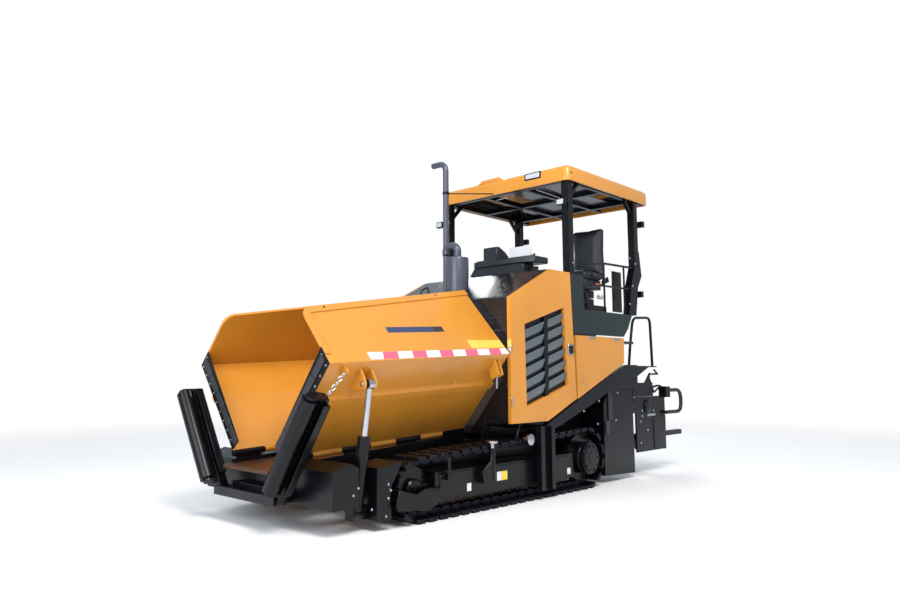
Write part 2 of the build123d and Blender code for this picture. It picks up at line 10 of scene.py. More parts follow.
import bmesh
import bpy
import numpy as np
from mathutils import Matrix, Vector

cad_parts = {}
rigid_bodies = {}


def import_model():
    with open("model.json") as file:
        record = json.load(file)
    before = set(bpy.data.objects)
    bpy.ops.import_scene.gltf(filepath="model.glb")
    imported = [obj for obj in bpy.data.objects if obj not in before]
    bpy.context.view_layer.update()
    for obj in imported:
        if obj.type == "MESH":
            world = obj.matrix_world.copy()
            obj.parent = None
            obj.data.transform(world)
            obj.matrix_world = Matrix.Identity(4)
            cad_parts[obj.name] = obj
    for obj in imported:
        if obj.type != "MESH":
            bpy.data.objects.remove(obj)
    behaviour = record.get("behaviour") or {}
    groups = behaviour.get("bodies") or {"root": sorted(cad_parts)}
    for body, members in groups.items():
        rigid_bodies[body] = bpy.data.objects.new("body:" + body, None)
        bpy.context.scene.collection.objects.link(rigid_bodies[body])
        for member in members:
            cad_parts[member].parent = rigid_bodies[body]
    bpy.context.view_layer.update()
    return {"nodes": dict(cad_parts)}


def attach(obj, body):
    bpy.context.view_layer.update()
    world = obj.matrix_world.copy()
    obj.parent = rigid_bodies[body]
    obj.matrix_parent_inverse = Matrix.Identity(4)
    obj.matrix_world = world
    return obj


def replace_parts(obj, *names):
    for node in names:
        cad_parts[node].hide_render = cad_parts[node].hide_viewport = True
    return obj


for leftover in list(bpy.data.objects):
    bpy.data.objects.remove(leftover)
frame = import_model()
nodes = frame["nodes"]
TRACK_X = 0.695  # the middle of the tracks' ground contact, ahead of the model's origin

# %% [markdown]
# ## Shader arithmetic
# A material is a graph of nodes, and laying out a long sum by hand takes many boxes. A `Sock` wraps a
# node's output so that it adds, multiplies and compares like a number. Each operator adds one Math
# node, so a formula in the script reads as a formula.


# %% The socket class and shared nodes
class Sock:
    """A node output; operators add Math nodes, and `node` adds any other node fed by it."""

    def __init__(self, tree, socket):
        self.tree, self.socket = tree, socket

    def node(self, kind, out=0, inputs=None, **settings):
        """Any node: its settings first, then the values or links of its sockets."""
        made = self.tree.nodes.new("ShaderNode" + kind)
        for key, value in settings.items():
            setattr(made, key, value)
        for key, value in (inputs or {}).items():
            target = made.inputs[key]
            if isinstance(value, Sock):
                self.tree.links.new(value.socket, target)
            else:
                target.default_value = value
        return Sock(self.tree, made.outputs[out])

    def math(self, operation, *others, clamp=False):
        """A Math node on this and the others."""
        values = dict(enumerate((self, *others)))
        return self.node("Math", inputs=values, operation=operation, use_clamp=clamp)

    def __add__(self, other):
        return self.math("ADD", other)

    def __sub__(self, other):
        return self.math("SUBTRACT", other)

    def __mul__(self, other):
        return self.math("MULTIPLY", other)

    def __truediv__(self, other):
        return self.math("DIVIDE", other)

    def __gt__(self, other):
        return self.math("GREATER_THAN", other)

    def __lt__(self, other):
        return self.math("LESS_THAN", other)

    def __neg__(self):
        return self * -1.0

    def __rsub__(self, other):
        return -self + other

    __radd__, __rmul__ = __add__, __mul__

    def ramp(self, low, high, to_low=0.0, to_high=1.0):
        """Linear map of low..high to to_low..to_high, held at both ends."""
        return self.node("MapRange", inputs={0: self, 1: low, 2: high, 3: to_low, 4: to_high})

    def mix(self, low, high):
        """Colour between low and high, where this is the factor."""
        return self.node("Mix", out=2, data_type="RGBA", inputs={0: self, 6: low, 7: high})


def srgb(red, green, blue):
    """Linear colour of 8-bit sRGB numbers c: ((c / 255 + 0.055) / 1.055) ^ 2.4, or c / 255 / 12.92
    where c is 10 or less."""
    shares = [c / 255 for c in (red, green, blue)]
    return (*(((c + 0.055) / 1.055) ** 2.4 if c > 10 / 255 else c / 12.92 for c in shares), 1.0)


def position(tree):
    """Object coordinates: (whole vector, x, y, z), all in metres in the frame."""
    start = Sock(tree, None)
    vector = start.node("TexCoord", out="Object")
    split = vector.node("SeparateXYZ", inputs={0: vector})
    parts = [Sock(tree, split.socket.node.outputs[axis]) for axis in "XYZ"]
    return vector, *parts


def noise(vector, scale, detail=3.0, rough=0.55):
    """Fractal noise between 0 and 1."""
    return vector.node("TexNoise", inputs={"Vector": vector, "Scale": scale, "Detail": detail,
                                           "Roughness": rough})


def finish_shader(name, colour, roughness, normal_height=None, bump=0.1, bump_distance=0.001,
                  metallic=0.0, coat=0.0, edge=0.003, **constants):
    """Material from sockets or constants; edges are rounded in the shading by the edge radius."""
    tree = colour.tree
    shader = tree.nodes["Principled BSDF"]
    wires = {"Base Color": colour, "Roughness": roughness, "Metallic": metallic,
             "Coat Weight": coat}
    for key, value in wires.items():
        if isinstance(value, Sock):
            tree.links.new(value.socket, shader.inputs[key])
        else:
            shader.inputs[key].default_value = value
    for key, value in constants.items():
        shader.inputs[key.replace("_", " ")].default_value = value
    rounded = colour.node("Bevel", samples=4, inputs={"Radius": edge}) if edge else None
    if normal_height is not None:
        wires = {"Strength": bump, "Distance": bump_distance, "Height": normal_height}
        if rounded:
            wires["Normal"] = rounded
        rounded = colour.node("Bump", inputs=wires)
    if rounded:
        tree.links.new(rounded.socket, shader.inputs["Normal"])
    return bpy.data.materials[name]


def new_tree(name):
    """The node tree of a new material."""
    material = bpy.data.materials.new(name)
    material.use_nodes = True
    return material.node_tree


# %% [markdown]
# ## Paints, metals and rubber
# Sprayed steel is never one flat colour. Each paint has a faint orange-peel bump, slow changes of
# tone, and dust that gathers low down. Marks, such as the striped band, could be thin meshes, but
# laid over the paint by their place on the machine they follow the plate exactly and never float.
# Metals have fine scratches in place of the film, and rubber and plastic a fine grain.


# %% Paint, metal and rubber
def tinted(colour, factor):
    """The colour times a factor, held below 1."""
    return tuple(min(1.0, c * factor) for c in colour[:3]) + (1.0,)


def paint(name, colour, rough=0.32, coat=0.5, peel=0.05, dust=0.10, edge=0.004, marks=None,
          shine=0.5):
    """Sprayed paint; marks(shade, x, y, z) lays further colours over it."""
    tree = new_tree(name)
    vector, x, y, z = position(tree)
    shade = noise(vector, 0.9, 2.0).ramp(0.35, 0.65).mix(tinted(colour, 0.93), tinted(colour, 1.07))
    film = noise(vector, 7.0, 5.0, 0.65).ramp(0.45, 0.8) * z.ramp(0.1, 1.2, 1.0, 0.2) * dust
    shade = film.mix(shade, srgb(120, 112, 104))
    if marks is not None:
        shade = marks(shade, x - TRACK_X, y, z)
    smear = noise(vector, 3.1, 4.0).ramp(0.3, 0.7, rough * 0.8, rough * 1.25)
    return finish_shader(name, shade, smear + film * 0.5, noise(vector, 420.0, 1.0), peel, 0.0006,
                         coat=coat, edge=edge, Coat_Roughness=0.08, Specular_IOR_Level=shine)


def metal(name, colour, rough=0.35, scratch=0.15, edge=0.002):
    """Bare or plated metal with fine scratches."""
    tree = new_tree(name)
    vector = position(tree)[0]
    grain = noise(vector, 160.0, 4.0, 0.7)
    shade = noise(vector, 5.0, 3.0).ramp(0.3, 0.7).mix(tinted(colour, 0.8), colour)
    return finish_shader(name, shade, grain.ramp(0.3, 0.7, rough * 0.75, rough * 1.3), grain,
                         scratch, 0.0005, metallic=1.0, edge=edge)


def rubber(name, colour, rough=0.7, scale=90.0, bump=0.3, edge=0.003):
    """Rubber, moulded plastic or cast grey with a fine grain."""
    tree = new_tree(name)
    vector = position(tree)[0]
    grain = noise(vector, scale, 4.0, 0.6)
    shade = noise(vector, 2.5, 3.0).ramp(0.3, 0.7).mix(tinted(colour, 0.8), tinted(colour, 1.15))
    return finish_shader(name, shade, grain.ramp(0.3, 0.7, rough * 0.9, min(1, rough * 1.1)), grain,
                         bump, 0.0008, edge=edge)


def between(value, low, high):
    """1 where the value lies between low and high, else 0."""
    return (value > low) * (value < high)


# %% [markdown]
# ### Marks
# A band of slanting stripes, a dark plate and a bare label lie on the left wing, and the roof is
# black inside. Each could be a picture on a UV map; a test of place needs no map and stays sharp
# however near the camera comes.


# %% Marks on the wing and the lining
HINGE_FRONT, HINGE_UP, HINGE_CLIMB = 2.285, 0.560, 0.052
FOLD_Y, FOLD_UP = 0.970, 0.770


def wing_marks(shade, x, y, z):
    """Striped band, dark plate and pale label on the outer face of the left wing's upper plate,
    which starts at the fold .970 out and .770 above the hinge and leans inwards 1 in 1.1303."""
    hinge = x * -HINGE_CLIMB + (HINGE_UP + HINGE_CLIMB * HINGE_FRONT)
    outer = (y - FOLD_Y + (z - hinge - FOLD_UP) / 1.1303) > -0.006
    height = z + x * 0.042
    stripe = ((x + (height - 1.50) * 0.49 + 0.024) / 0.340).math("FRACT") < 0.5
    band = outer * between(height, 1.442, 1.501) * between(x, -0.024, 1.846)
    shade = band.mix(shade, stripe.mix(srgb(222, 90, 118), srgb(222, 222, 228)))
    plate = outer * between(z + x * 0.0535, 1.680, 1.731) * between(x, 0.763, 1.481)
    shade = plate.mix(shade, (x < 0.9).mix(srgb(40, 52, 92), srgb(30, 30, 38)))
    label = outer * between(z + x * 0.036, 1.509, 1.585) * between(x, -0.01, 0.54)
    return label.mix(shade, srgb(222, 196, 84))


def roof_marks(shade, x, y, z):
    """The canopy's lining is black: all that lies inside its walls."""
    inside = between(x, -2.893, -1.087) * between(y, -0.953, 0.953) * (z < 3.586)
    return inside.mix(shade, srgb(20, 24, 34))


# %% [markdown]
# ### The finishes
# Each finish is named for what it covers. The solids and the added pieces share them, so a colour
# is changed in one place; a copy for every piece would drift apart.

# %% The finishes
YELLOW, INK = srgb(208, 138, 42), srgb(7, 8, 13)
yellow = paint("paint_yellow", YELLOW, marks=wing_marks)
roof_paint = paint("paint_roof", YELLOW, marks=roof_marks)
black = paint("paint_black", INK, rough=0.30, coat=0.08, dust=0.02, shine=0.22)
green_black = paint("paint_green_black", srgb(20, 36, 35), rough=0.30, coat=0.12, dust=0.03, shine=0.3)
grey_dark = paint("paint_dark_grey", srgb(18, 21, 30), rough=0.24, coat=0.35, dust=0.03, shine=0.3)
exhaust_grey = paint("paint_exhaust_grey", srgb(66, 70, 84), rough=0.38, coat=0.2)
louvre_grey = paint("paint_louvre_grey", srgb(78, 90, 98), rough=0.32, coat=0.3)
orange = paint("paint_orange", srgb(214, 100, 20))
white_paint = paint("paint_white", srgb(215, 215, 220), dust=0.04)
red_paint = paint("paint_red", srgb(190, 30, 30), dust=0.0)
label_paint = paint("paint_label_yellow", srgb(226, 196, 40), dust=0.05)
track_steel = metal("steel_track", srgb(46, 46, 54), 0.42, 0.5)
steel = metal("steel_bright", srgb(196, 196, 202), 0.25)
pad_rubber = rubber("pad_rubber", srgb(38, 39, 46), 0.55)
hose_rubber = rubber("hose_rubber", srgb(26, 27, 32), 0.5)
floor_steel = metal("steel_floor", srgb(112, 84, 66), 0.5, 0.4)
vinyl = rubber("seat_vinyl_black", srgb(30, 33, 42), 0.42, 260.0, 0.2)
plastic = rubber("moulded_plastic", srgb(32, 35, 44), 0.42)
lens = paint("lamp_glass", srgb(188, 194, 206), rough=0.12, coat=1.0, peel=0.0, dust=0.0)

# %% [markdown]
# ### Which finish goes where
# Each solid could be painted by hand in the viewport; one table of finishes, black where it names
# none, and one loop over each solid's slots do it the same each time.

# %% Slots, and finishes for the solids
finishes = {
    "hopper_wing_left": yellow, "hopper_wing_right": yellow,
    "engine_door_left": yellow, "engine_door_right": yellow,
    "rear_panel_left": yellow, "rear_panel_right": yellow,
    "canopy_roof": roof_paint, "side_boxes": green_black, "platform": grey_dark,
    "track_left": track_steel, "track_right": track_steel,
    "lift_rod_left": steel, "lift_rod_right": steel,
    "wing_flap_left": black, "wing_flap_right": black,
    "conveyor_deck": floor_steel, "seat": vinyl, "console": plastic,
    "engine_hood": grey_dark, "exhaust": exhaust_grey, "engine_block": exhaust_grey,
}
for name, node in nodes.items():
    for slot in node.material_slots:
        slot.material = finishes.get(name, black)

# %% [markdown]
# ## Mesh tools
# Machine parts are mostly plates, bars, turned bosses and bent tubes. All of them are one idea: a
# ring of points carried along a line, or a profile turned about an axis. A `Kit` gathers such
# forms as whole arrays, and `finish` makes one mesh of them. Places are metres ahead of the middle
# of the tracks, to the left of the centre plane and above the ground; `finish` moves them over.


# %% Rings and lines
def circle(sides):
    """Unit circle: (cos a, sin a) for evenly spaced a."""
    a = np.linspace(0, 2 * np.pi, sides, endpoint=False)
    return np.stack([np.cos(a), np.sin(a)], -1)


def across(way):
    """Two unit vectors square to each direction: w x r, then w x (w x r), for a fixed r."""
    way = way / np.linalg.norm(way, axis=-1, keepdims=True)
    first = np.cross(way, (0.31, 0.52, 0.79))
    first /= np.linalg.norm(first, axis=-1, keepdims=True)
    return first, np.cross(way, first)


def bent(points, radius, steps=5):
    """A line whose corners are rounded: p = (1-t)^2 a + 2t(1-t) b + t^2 c across each corner b."""
    p = np.array(points, float)
    t = np.linspace(0, 1, steps)[:, None]
    line = [p[:1]]
    for a, b, c in zip(p, p[1:], p[2:]):
        near = b + (a - b) * min(0.5, radius / np.linalg.norm(a - b))
        far = b + (c - b) * min(0.5, radius / np.linalg.norm(c - b))
        line.append((1 - t) ** 2 * near + 2 * t * (1 - t) * b + t ** 2 * far)
    return np.vstack([*line, p[-1:]])


# %% [markdown]
# A piece could be many objects joined at the end. A `Kit` keeps one list of points and one of faces
# instead, and each form adds to both. `finish` then makes the mesh, turns its faces outwards, gives
# it a finish and tells it which body it rides on.


class Kit:
    """The points and faces of one piece, gathered form by form."""

    def __init__(self):
        self.points, self.faces, self.count = [], [], 0

    def loft(self, rings, closed=False):
        """Skin over rings (row, point, xyz): quads between rows, and a lid on each end ring."""
        rings = np.asarray(rings, float)
        rows, size = rings.shape[:2]
        i, j = np.meshgrid(np.arange(rows if closed else rows - 1), np.arange(size), indexing="ij")
        k, n = (j + 1) % size, (i + 1) % rows
        quads = np.stack([i * size + j, i * size + k, n * size + k, n * size + j], -1).reshape(-1, 4)
        self.faces += (quads + self.count).tolist()
        if not closed:
            lid = np.arange(size) + self.count
            self.faces += [lid[::-1].tolist(), (lid + (rows - 1) * size).tolist()]
        self.points.append(rings.reshape(-1, 3))
        self.count += rows * size

    def lathe(self, start, axis, profile, sides=24):
        """Profile of (radius, distance) turned about an axis: p = start + axis h + r (cos a, sin a)."""
        axis = np.array(axis, float) / np.linalg.norm(axis)
        u, v = across(axis)
        ring = circle(sides)
        profile = np.array(profile, float)
        wheel = ring[:, :1] * u + ring[:, 1:] * v
        self.loft(np.array(start, float) + profile[:, 1, None, None] * axis
                  + profile[:, 0, None, None] * wheel)

    def rod(self, start, end, radius, tip=None, sides=18):
        """A round or tapered bar between two points."""
        way = np.subtract(end, start)
        self.lathe(start, way, ((radius, 0), (radius if tip is None else tip, np.linalg.norm(way))),
                   sides)

    def prism(self, face, along):
        """A flat outline of 3-D points, carried along a vector."""
        face = np.array(face, float)
        self.loft(np.stack([face, face + np.array(along, float)]))

    def slab(self, x, y, z):
        """A box between pairs of stations, offsets and heights."""
        self.prism([(x[0], y[0], z[0]), (x[1], y[0], z[0]), (x[1], y[1], z[0]), (x[0], y[1], z[0])],
                   (0, 0, z[1] - z[0]))

    def side(self, y, thick, points):
        """A plate with the given side outline (station, height), from offset y outwards."""
        x, z = np.array(points).T
        self.prism(np.stack([x, 0 * x + y, z], -1), (0, thick, 0))

    def front(self, x, thick, points):
        """A plate with the given front outline (offset, height), from station x by a thickness."""
        y, z = np.array(points).T
        self.prism(np.stack([0 * y + x, y, z], -1), (thick, 0, 0))

    def bolt(self, place, axis, size=0.012):
        """A washer and a hexagon head with a chamfered top."""
        axis = np.array(axis, float) / np.linalg.norm(axis)
        self.lathe(place, axis, ((size * 1.35, 0), (size * 1.35, size * 0.16)), 14)
        self.lathe(np.array(place) + axis * size * 0.16, axis,
                   ((size, 0), (size, size * 0.55), (size * 0.82, size * 0.7)), 6)

    def pipe(self, points, radius, sides=12, closed=False):
        """A round tube: p = line + r (cos a u + sin a v), with u and v square to the line."""
        p = np.array(points, float)
        ahead = np.roll(p, -1, 0) - np.roll(p, 1, 0) if closed else np.gradient(p, axis=0)
        u, v = across(ahead)
        ring = circle(sides) * radius
        self.loft(p[:, None] + ring[None, :, :1] * u[:, None] + ring[None, :, 1:] * v[:, None], closed)

    def finish(self, name, body, material, side=1, both=False, smooth=35, bevel=0.0):
        """The gathered mesh as a piece that rides on a body; side -1 mirrors it, both repeats it,
        and bevel chamfers its sharp edges."""
        points, faces = np.vstack(self.points), list(self.faces)
        if both:
            faces += [[v + len(points) for v in face] for face in faces]
            points = np.vstack([points, points * (1, -1, 1)])
        points = points * (1, side, 1) + (TRACK_X, 0, 0)
        data = bpy.data.meshes.new(name)
        data.from_pydata(points.tolist(), [], faces)
        shell = bmesh.new()
        shell.from_mesh(data)
        bmesh.ops.recalc_face_normals(shell, faces=list(shell.faces))
        shell.to_mesh(data)
        shell.free()
        data.polygons.foreach_set("use_smooth", [True] * len(data.polygons))
        data.set_sharp_from_angle(angle=np.radians(smooth))
        data.materials.append(material)
        piece = bpy.data.objects.new(name, data)
        bpy.context.collection.objects.link(piece)
        if bevel:
            chamfer = piece.modifiers.new("chamfer", "BEVEL")
            chamfer.width, chamfer.segments, chamfer.limit_method = bevel, 1, "ANGLE"
            chamfer.angle_limit = np.radians(40)
        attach(piece, body)
        print(f"{name}: {len(faces)} faces on {body}")
        return piece


SIDES = (("left", 1), ("right", -1))

# %% [markdown]
# ## Tracks
# Each track is a loop of 48 rigid shoes on a chain. A shoe is a steel plate with two chamfered pads,
# two link plates and a pin. An Array modifier along a curve would bend the shoes, which are stiff.
# The loop is two straight runs and two arcs, so a shoe's place is worked out from its distance
# round the loop, and the same stiff outline is set down at every place.

# %% Track loops
SPROCKET, IDLER, SHOES = np.array((-1.335, 0.330)), np.array((1.275, 0.275)), 48
SHOE_MIDDLE, SHOE_HALF, CHAIN_INSET = 0.805, 0.165, 0.060


def loop_places(count, inset):
    """Points (station, height) at even distances round the loop, and the outward direction at each:
    line: p = start + way s; arc: p = centre + r (cos a, sin a), a = first + s / r."""
    span = IDLER[0] - SPROCKET[0]
    lean = 2 * np.arctan2(SPROCKET[1] - IDLER[1], span)
    front, rear = IDLER[1] - inset, SPROCKET[1] - inset
    lengths = np.array([span, front * (np.pi - lean), span, rear * (np.pi + lean)])
    s = (np.arange(count) + 0.5) * lengths.sum() / count
    run = np.searchsorted(np.cumsum(lengths), s)
    s = s - np.concatenate([[0], np.cumsum(lengths)])[run]
    angle = np.select([run == 0, run == 1, run == 2, run == 3],
                      [-np.pi / 2 + 0 * s, s / front - np.pi / 2, np.pi / 2 - lean + 0 * s,
                       s / rear + np.pi / 2 - lean])
    out = np.stack([np.cos(angle), np.sin(angle)], -1)
    back = np.array((-np.cos(lean), np.sin(lean)))
    starts = [np.stack([SPROCKET[0] + s, 0 * s + inset], -1), IDLER + out * front,
              IDLER + out * front + back * s[:, None], SPROCKET + out * rear]
    return np.select([(run == r)[:, None] for r in range(4)], starts), out


LINK = ((-0.052, -0.018), (-0.030, -0.025), (0.050, -0.025), (0.066, -0.012),
        (0.066, 0.010), (0.052, 0.022), (-0.040, 0.022), (-0.058, 0.010))


def set_down(kit, place, outline, low, high):
    """A stiff outline of (along, outward) pairs at a shoe's place, between two offsets:
    p = point + way t + out n, where way is square to out."""
    (point, out), (t, n) = place, np.array(outline).T
    x, z = point[:, None] + np.outer((-out[1], out[0]), t) + np.outer(out, n)
    kit.prism(np.stack([x, 0 * x + low, z], -1), (0, high - low, 0))


def track_kit():
    """Shoes with their split pads, and the links and pins of the chain under them."""
    kit, links = Kit(), Kit()
    for place in zip(*loop_places(SHOES, CHAIN_INSET)):
        set_down(kit, place, ((-0.060, 0.022), (0.056, 0.022), (0.060, 0.034), (-0.056, 0.034)),
                 SHOE_MIDDLE - SHOE_HALF, SHOE_MIDDLE + SHOE_HALF)
        for low, high in ((-SHOE_HALF, -0.006), (0.006, SHOE_HALF)):
            set_down(kit, place, ((-0.050, 0.034), (0.050, 0.034), (0.043, 0.0595), (-0.043, 0.0595)),
                     SHOE_MIDDLE + low, SHOE_MIDDLE + high)
        for offset in (-0.052, 0.036):
            set_down(links, place, LINK, SHOE_MIDDLE + offset, SHOE_MIDDLE + offset + 0.016)
        point, out = place
        x, z = point - np.array((-out[1], out[0])) * 0.055
        links.rod((x, SHOE_MIDDLE - 0.058, z), (x, SHOE_MIDDLE + 0.058, z), 0.013, sides=10)
    return kit, links


for name, side in SIDES:
    shoes, links = track_kit()
    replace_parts(shoes.finish(f"track_shoes_{name}", "chassis", track_steel, side, bevel=0.003),
                f"track_{name}")
    links.finish(f"track_links_{name}", "chassis", track_steel, side)
print("shoes in each loop:", SHOES)

# %% [markdown]
# ## Sprockets, hubs and track frame
# The sprocket's toothed rim and the final drive's stepped hub close the rear of the track. Real teeth
# have curved flanks, and a curve could draw them; behind the shoes a ring of points, two far out and
# two further in, reads as teeth. The hub is a turned profile with two rings of bolts, and the idler
# has a plain stepped cap.

# %% Teeth and hubs
TEETH, TIP_RADIUS, ROOT_RADIUS = 21, 0.268, 0.238
teeth = Kit()
reach = np.where(np.arange(4 * TEETH) % 4 < 2, TIP_RADIUS, ROOT_RADIUS)
teeth.side(SHOE_MIDDLE - 0.018, 0.036, SPROCKET + circle(4 * TEETH) * reach[:, None])
teeth.finish("sprocket_teeth", "chassis", track_steel, both=True)

hubs, hub_bolts = Kit(), Kit()
hubs.lathe((SPROCKET[0], 0.90, SPROCKET[1]), (0, 1, 0),
           ((0.175, 0), (0.175, 0.040), (0.168, 0.050), (0.152, 0.052), (0.150, 0.104),
            (0.140, 0.114), (0.070, 0.116), (0.064, 0.122), (0.030, 0.122)), 48)
hubs.lathe((IDLER[0], 0.83, IDLER[1]), (0, 1, 0), ((0.090, 0), (0.090, 0.05), (0.075, 0.065)), 32)
for turn in circle(10):
    x, z = SPROCKET + turn * 0.128
    hub_bolts.bolt((x, 1.016, z), (0, 1, 0), 0.010)
    x, z = SPROCKET + turn * 0.162
    hub_bolts.bolt((x, 0.950, z), (0, 1, 0), 0.008)
hubs.finish("drive_hubs", "chassis", black, both=True)
hub_bolts.finish("drive_hub_bolts", "chassis", black, both=True)

# %% [markdown]
# ### Track frame fittings
# Plates, a stout post with a bright headed pin, and bare tags sit on the track frame. A plate could be
# traced as a curve and extruded; an outline of its corners with a thickness is the same in one line.

# %% Plates, post, pin and tags
frames = Kit()
frames.side(0.930, 0.012, ((-0.985, 0.165), (-0.985, 0.385), (0.925, 0.385), (1.02, 0.360),
                           (1.02, 0.185), (0.985, 0.165)))
frames.side(0.986, 0.010, ((1.590, 0.190), (1.553, 0.312), (1.355, 0.256), (1.253, 0.292),
                           (1.173, 0.265), (1.060, 0.285), (1.060, 0.165), (1.204, 0.105),
                           (1.560, 0.150)))
frames.slab((1.060, 1.195), (0.93, 0.988), (0.165, 0.285))
frames.slab((0.330, 0.480), (0.93, 0.992), (0.250, 0.370))
frames.side(0.992, 0.014, ((0.330, 0.545), (0.372, 0.545), (0.400, 0.440), (0.520, 0.360),
                           (0.500, 0.250), (0.330, 0.250)))
frames.slab((0.925, 0.965), (0.93, 0.990), (0.330, 0.390))
frames.slab((0.925, 0.965), (0.976, 0.990), (0.390, 0.520))
frames.rod((0.355, 0.986, 0.270), (0.355, 0.986, 0.560), 0.032)
frames.finish("track_frame_fittings", "chassis", black, both=True, bevel=0.004)
pin = Kit()
pin.rod((0.355, 0.986, 0.545), (0.355, 0.986, 0.606), 0.020)
pin.lathe((0.355, 0.986, 0.604), (0, 0, 1),
          ((0.050, 0), (0.055, 0.006), (0.055, 0.020), (0.046, 0.026)), 28)
pin.finish("track_frame_pins", "chassis", steel, both=True)
tags = Kit()
for low, high, base, top in ((0.606, 0.664, 0.197, 0.267), (0.165, 0.235, 0.244, 0.327),
                             (-1.013, -0.950, 0.190, 0.255)):
    tags.slab((low, high), (0.9425, 0.9435), (base, top))
tags.finish("bare_tags_white", "chassis", white_paint)
tags = Kit()
tags.slab((0.075, 0.165), (0.9425, 0.9435), (0.244, 0.327))
tags.finish("bare_tag_yellow", "chassis", label_paint)

# %% [markdown]
# ## Hopper wings
# A wing is one plate bent at a fold. Its section slides back along a hinge line that climbs to the
# rear, and the upper plate's height follows the falling top edge, which ends in a round corner.
# Cutting a folded sheet would leave a ragged corner, so the plate is a row of six-point sections,
# closer together where the corner turns. A rim, a stiffening channel and ears are set on it.

# %% The wing's lines
HINGE_Y, PLATE = 0.350, 0.016
FLOOR_WAY, FLOOR_IN = np.array((0.6272, 0.7789)), np.array((-0.7789, 0.6272))
LIP_WAY, LIP_IN = np.array((-0.6626, 0.7490)), np.array((-0.7490, -0.6626))
WING_REAR, WING_FRONT, CORNER = 0.050, 2.269, 0.095


def hinge_height(x):
    """The hinge climbs .052 for each metre towards the rear."""
    return HINGE_UP + HINGE_CLIMB * (HINGE_FRONT - np.asarray(x, float))


def edge_height(x):
    """Top edge: a straight fall, then a quarter circle of radius CORNER down to the front."""
    middle = WING_FRONT - CORNER
    drop = CORNER - np.sqrt(np.clip(CORNER ** 2 - np.clip(x - middle, 0, CORNER) ** 2, 0, None))
    return 2.112 - 0.14989 * (np.minimum(x, middle) - WING_REAR) - drop


def at(x, flat):
    """Stations x and (offset, height) pairs as 3-D points."""
    return np.concatenate([np.broadcast_to(np.asarray(x, float)[..., None], flat.shape[:-1] + (1,)),
                           flat], -1)


def lip_point(x, z):
    """Point on the upper plate's outer face: fold + way (z - fold height) / way height."""
    fold = hinge_height(x) + FOLD_UP
    offset, z = np.broadcast_arrays(FOLD_Y + (z - fold) * LIP_WAY[0] / LIP_WAY[1], z)
    return at(x, np.stack([offset, z], -1))


def floor_point(x, along, inwards=0.0):
    """Point on the floor plate's outer face, a distance up from the hinge and inwards."""
    base = np.stack([np.full(np.shape(x), HINGE_Y), hinge_height(x)], -1)
    return at(x, base + FLOOR_WAY * along + FLOOR_IN * inwards)


def wing_sections(x):
    """Rings of base, fold and tip outside, then tip, fold and base inside."""
    base, fold = floor_point(x, 0)[:, 1:], np.stack([0 * x + FOLD_Y, hinge_height(x) + FOLD_UP], -1)
    tip = lip_point(x, edge_height(x))[:, 1:]
    bisector = (FLOOR_IN + LIP_IN) / np.linalg.norm(FLOOR_IN + LIP_IN)
    inner = fold + bisector * PLATE / FLOOR_IN.dot(bisector)
    rings = np.stack([base, fold, tip, tip + LIP_IN * PLATE, inner, base + FLOOR_IN * PLATE], 1)
    return at(np.repeat(x[:, None], 6, 1), rings)


stations = np.concatenate([np.linspace(WING_REAR, WING_FRONT - CORNER, 12),
                           WING_FRONT - CORNER + CORNER * np.sin(np.linspace(0.1, np.pi / 2, 12))])
KNUCKLES, RIM_WIDE = 7, 0.050
proud = np.array((0, *(-LIP_IN * 0.011)))  # the rim stands this far off the plate
knuckle = (HINGE_FRONT - WING_REAR) / KNUCKLES
print("sections along each wing:", len(stations))

# %% [markdown]
# ### Plate, rim, ears and sleeves
# A channel and a rim stiffen the wing. The lift cylinder takes hold of it between two ears, and it
# turns on sleeves. A Solidify modifier could thicken a traced rim; here the edge line is moved
# inwards square to itself, which keeps the rim one width round the corner.


# %% Forms of one wing
def add_plate(wing):
    """The bent plate, and a channel along its floor part: four lines carried front to back."""
    wing.loft(wing_sections(stations))
    rib = np.array((WING_REAR, WING_FRONT))
    rib_rings = [floor_point(rib, s, -d) for s, d in
                 ((0.554, -0.002), (0.568, 0.028), (0.630, 0.028), (0.644, -0.002))]
    wing.loft(np.stack(rib_rings, 1))


def add_rim(wing):
    """A strip along the top edge, round the corner and down the front: the edge line e, and
    e + inwards RIM_WIDE, where inwards is square to the line's gradient."""
    outer_x = np.concatenate([stations, [WING_FRONT] * 2])
    outer_z = np.concatenate([edge_height(stations), (1.55, 1.40)])
    flat = np.stack([outer_x, outer_z], -1)
    inwards = np.gradient(flat, axis=0)
    inwards /= np.linalg.norm(inwards, axis=1)[:, None]
    inwards = np.stack([inwards[:, 1], -inwards[:, 0]], -1) * RIM_WIDE
    far = flat + inwards
    edge, inner = lip_point(flat[:, 0], flat[:, 1]), lip_point(far[:, 0], far[:, 1])
    wing.loft(np.stack([edge, inner, inner + proud, edge + proud], 1))


def add_ears(wing):
    """Two ears for the lift rod's eye, two gussets towards the rear and the chain's hook plate."""
    for front, back in ((1.928, 1.910), (1.814, 1.796)):
        wing.front(back, front - back, ((0.918, 1.298), (0.781, 1.128), (0.975, 1.130),
                                        (0.988, 1.170), (0.975, 1.210)))
    for x in (0.165, 0.225):
        high, low = [floor_point(np.array([x]), s)[0] for s in (0.93, 0.80)]
        wing.prism([high, (x, 0.975, 1.275), (x, 0.985, 1.240), (x, 0.900, 1.195), low],
                   (0.014, 0, 0))
    high, low = [floor_point(np.array([2.100]), s)[0] for s in (0.955, 0.850)]
    wing.prism([high, (2.100, 0.990, 1.278), (2.100, 0.990, 1.248), low], (0.014, 0, 0))


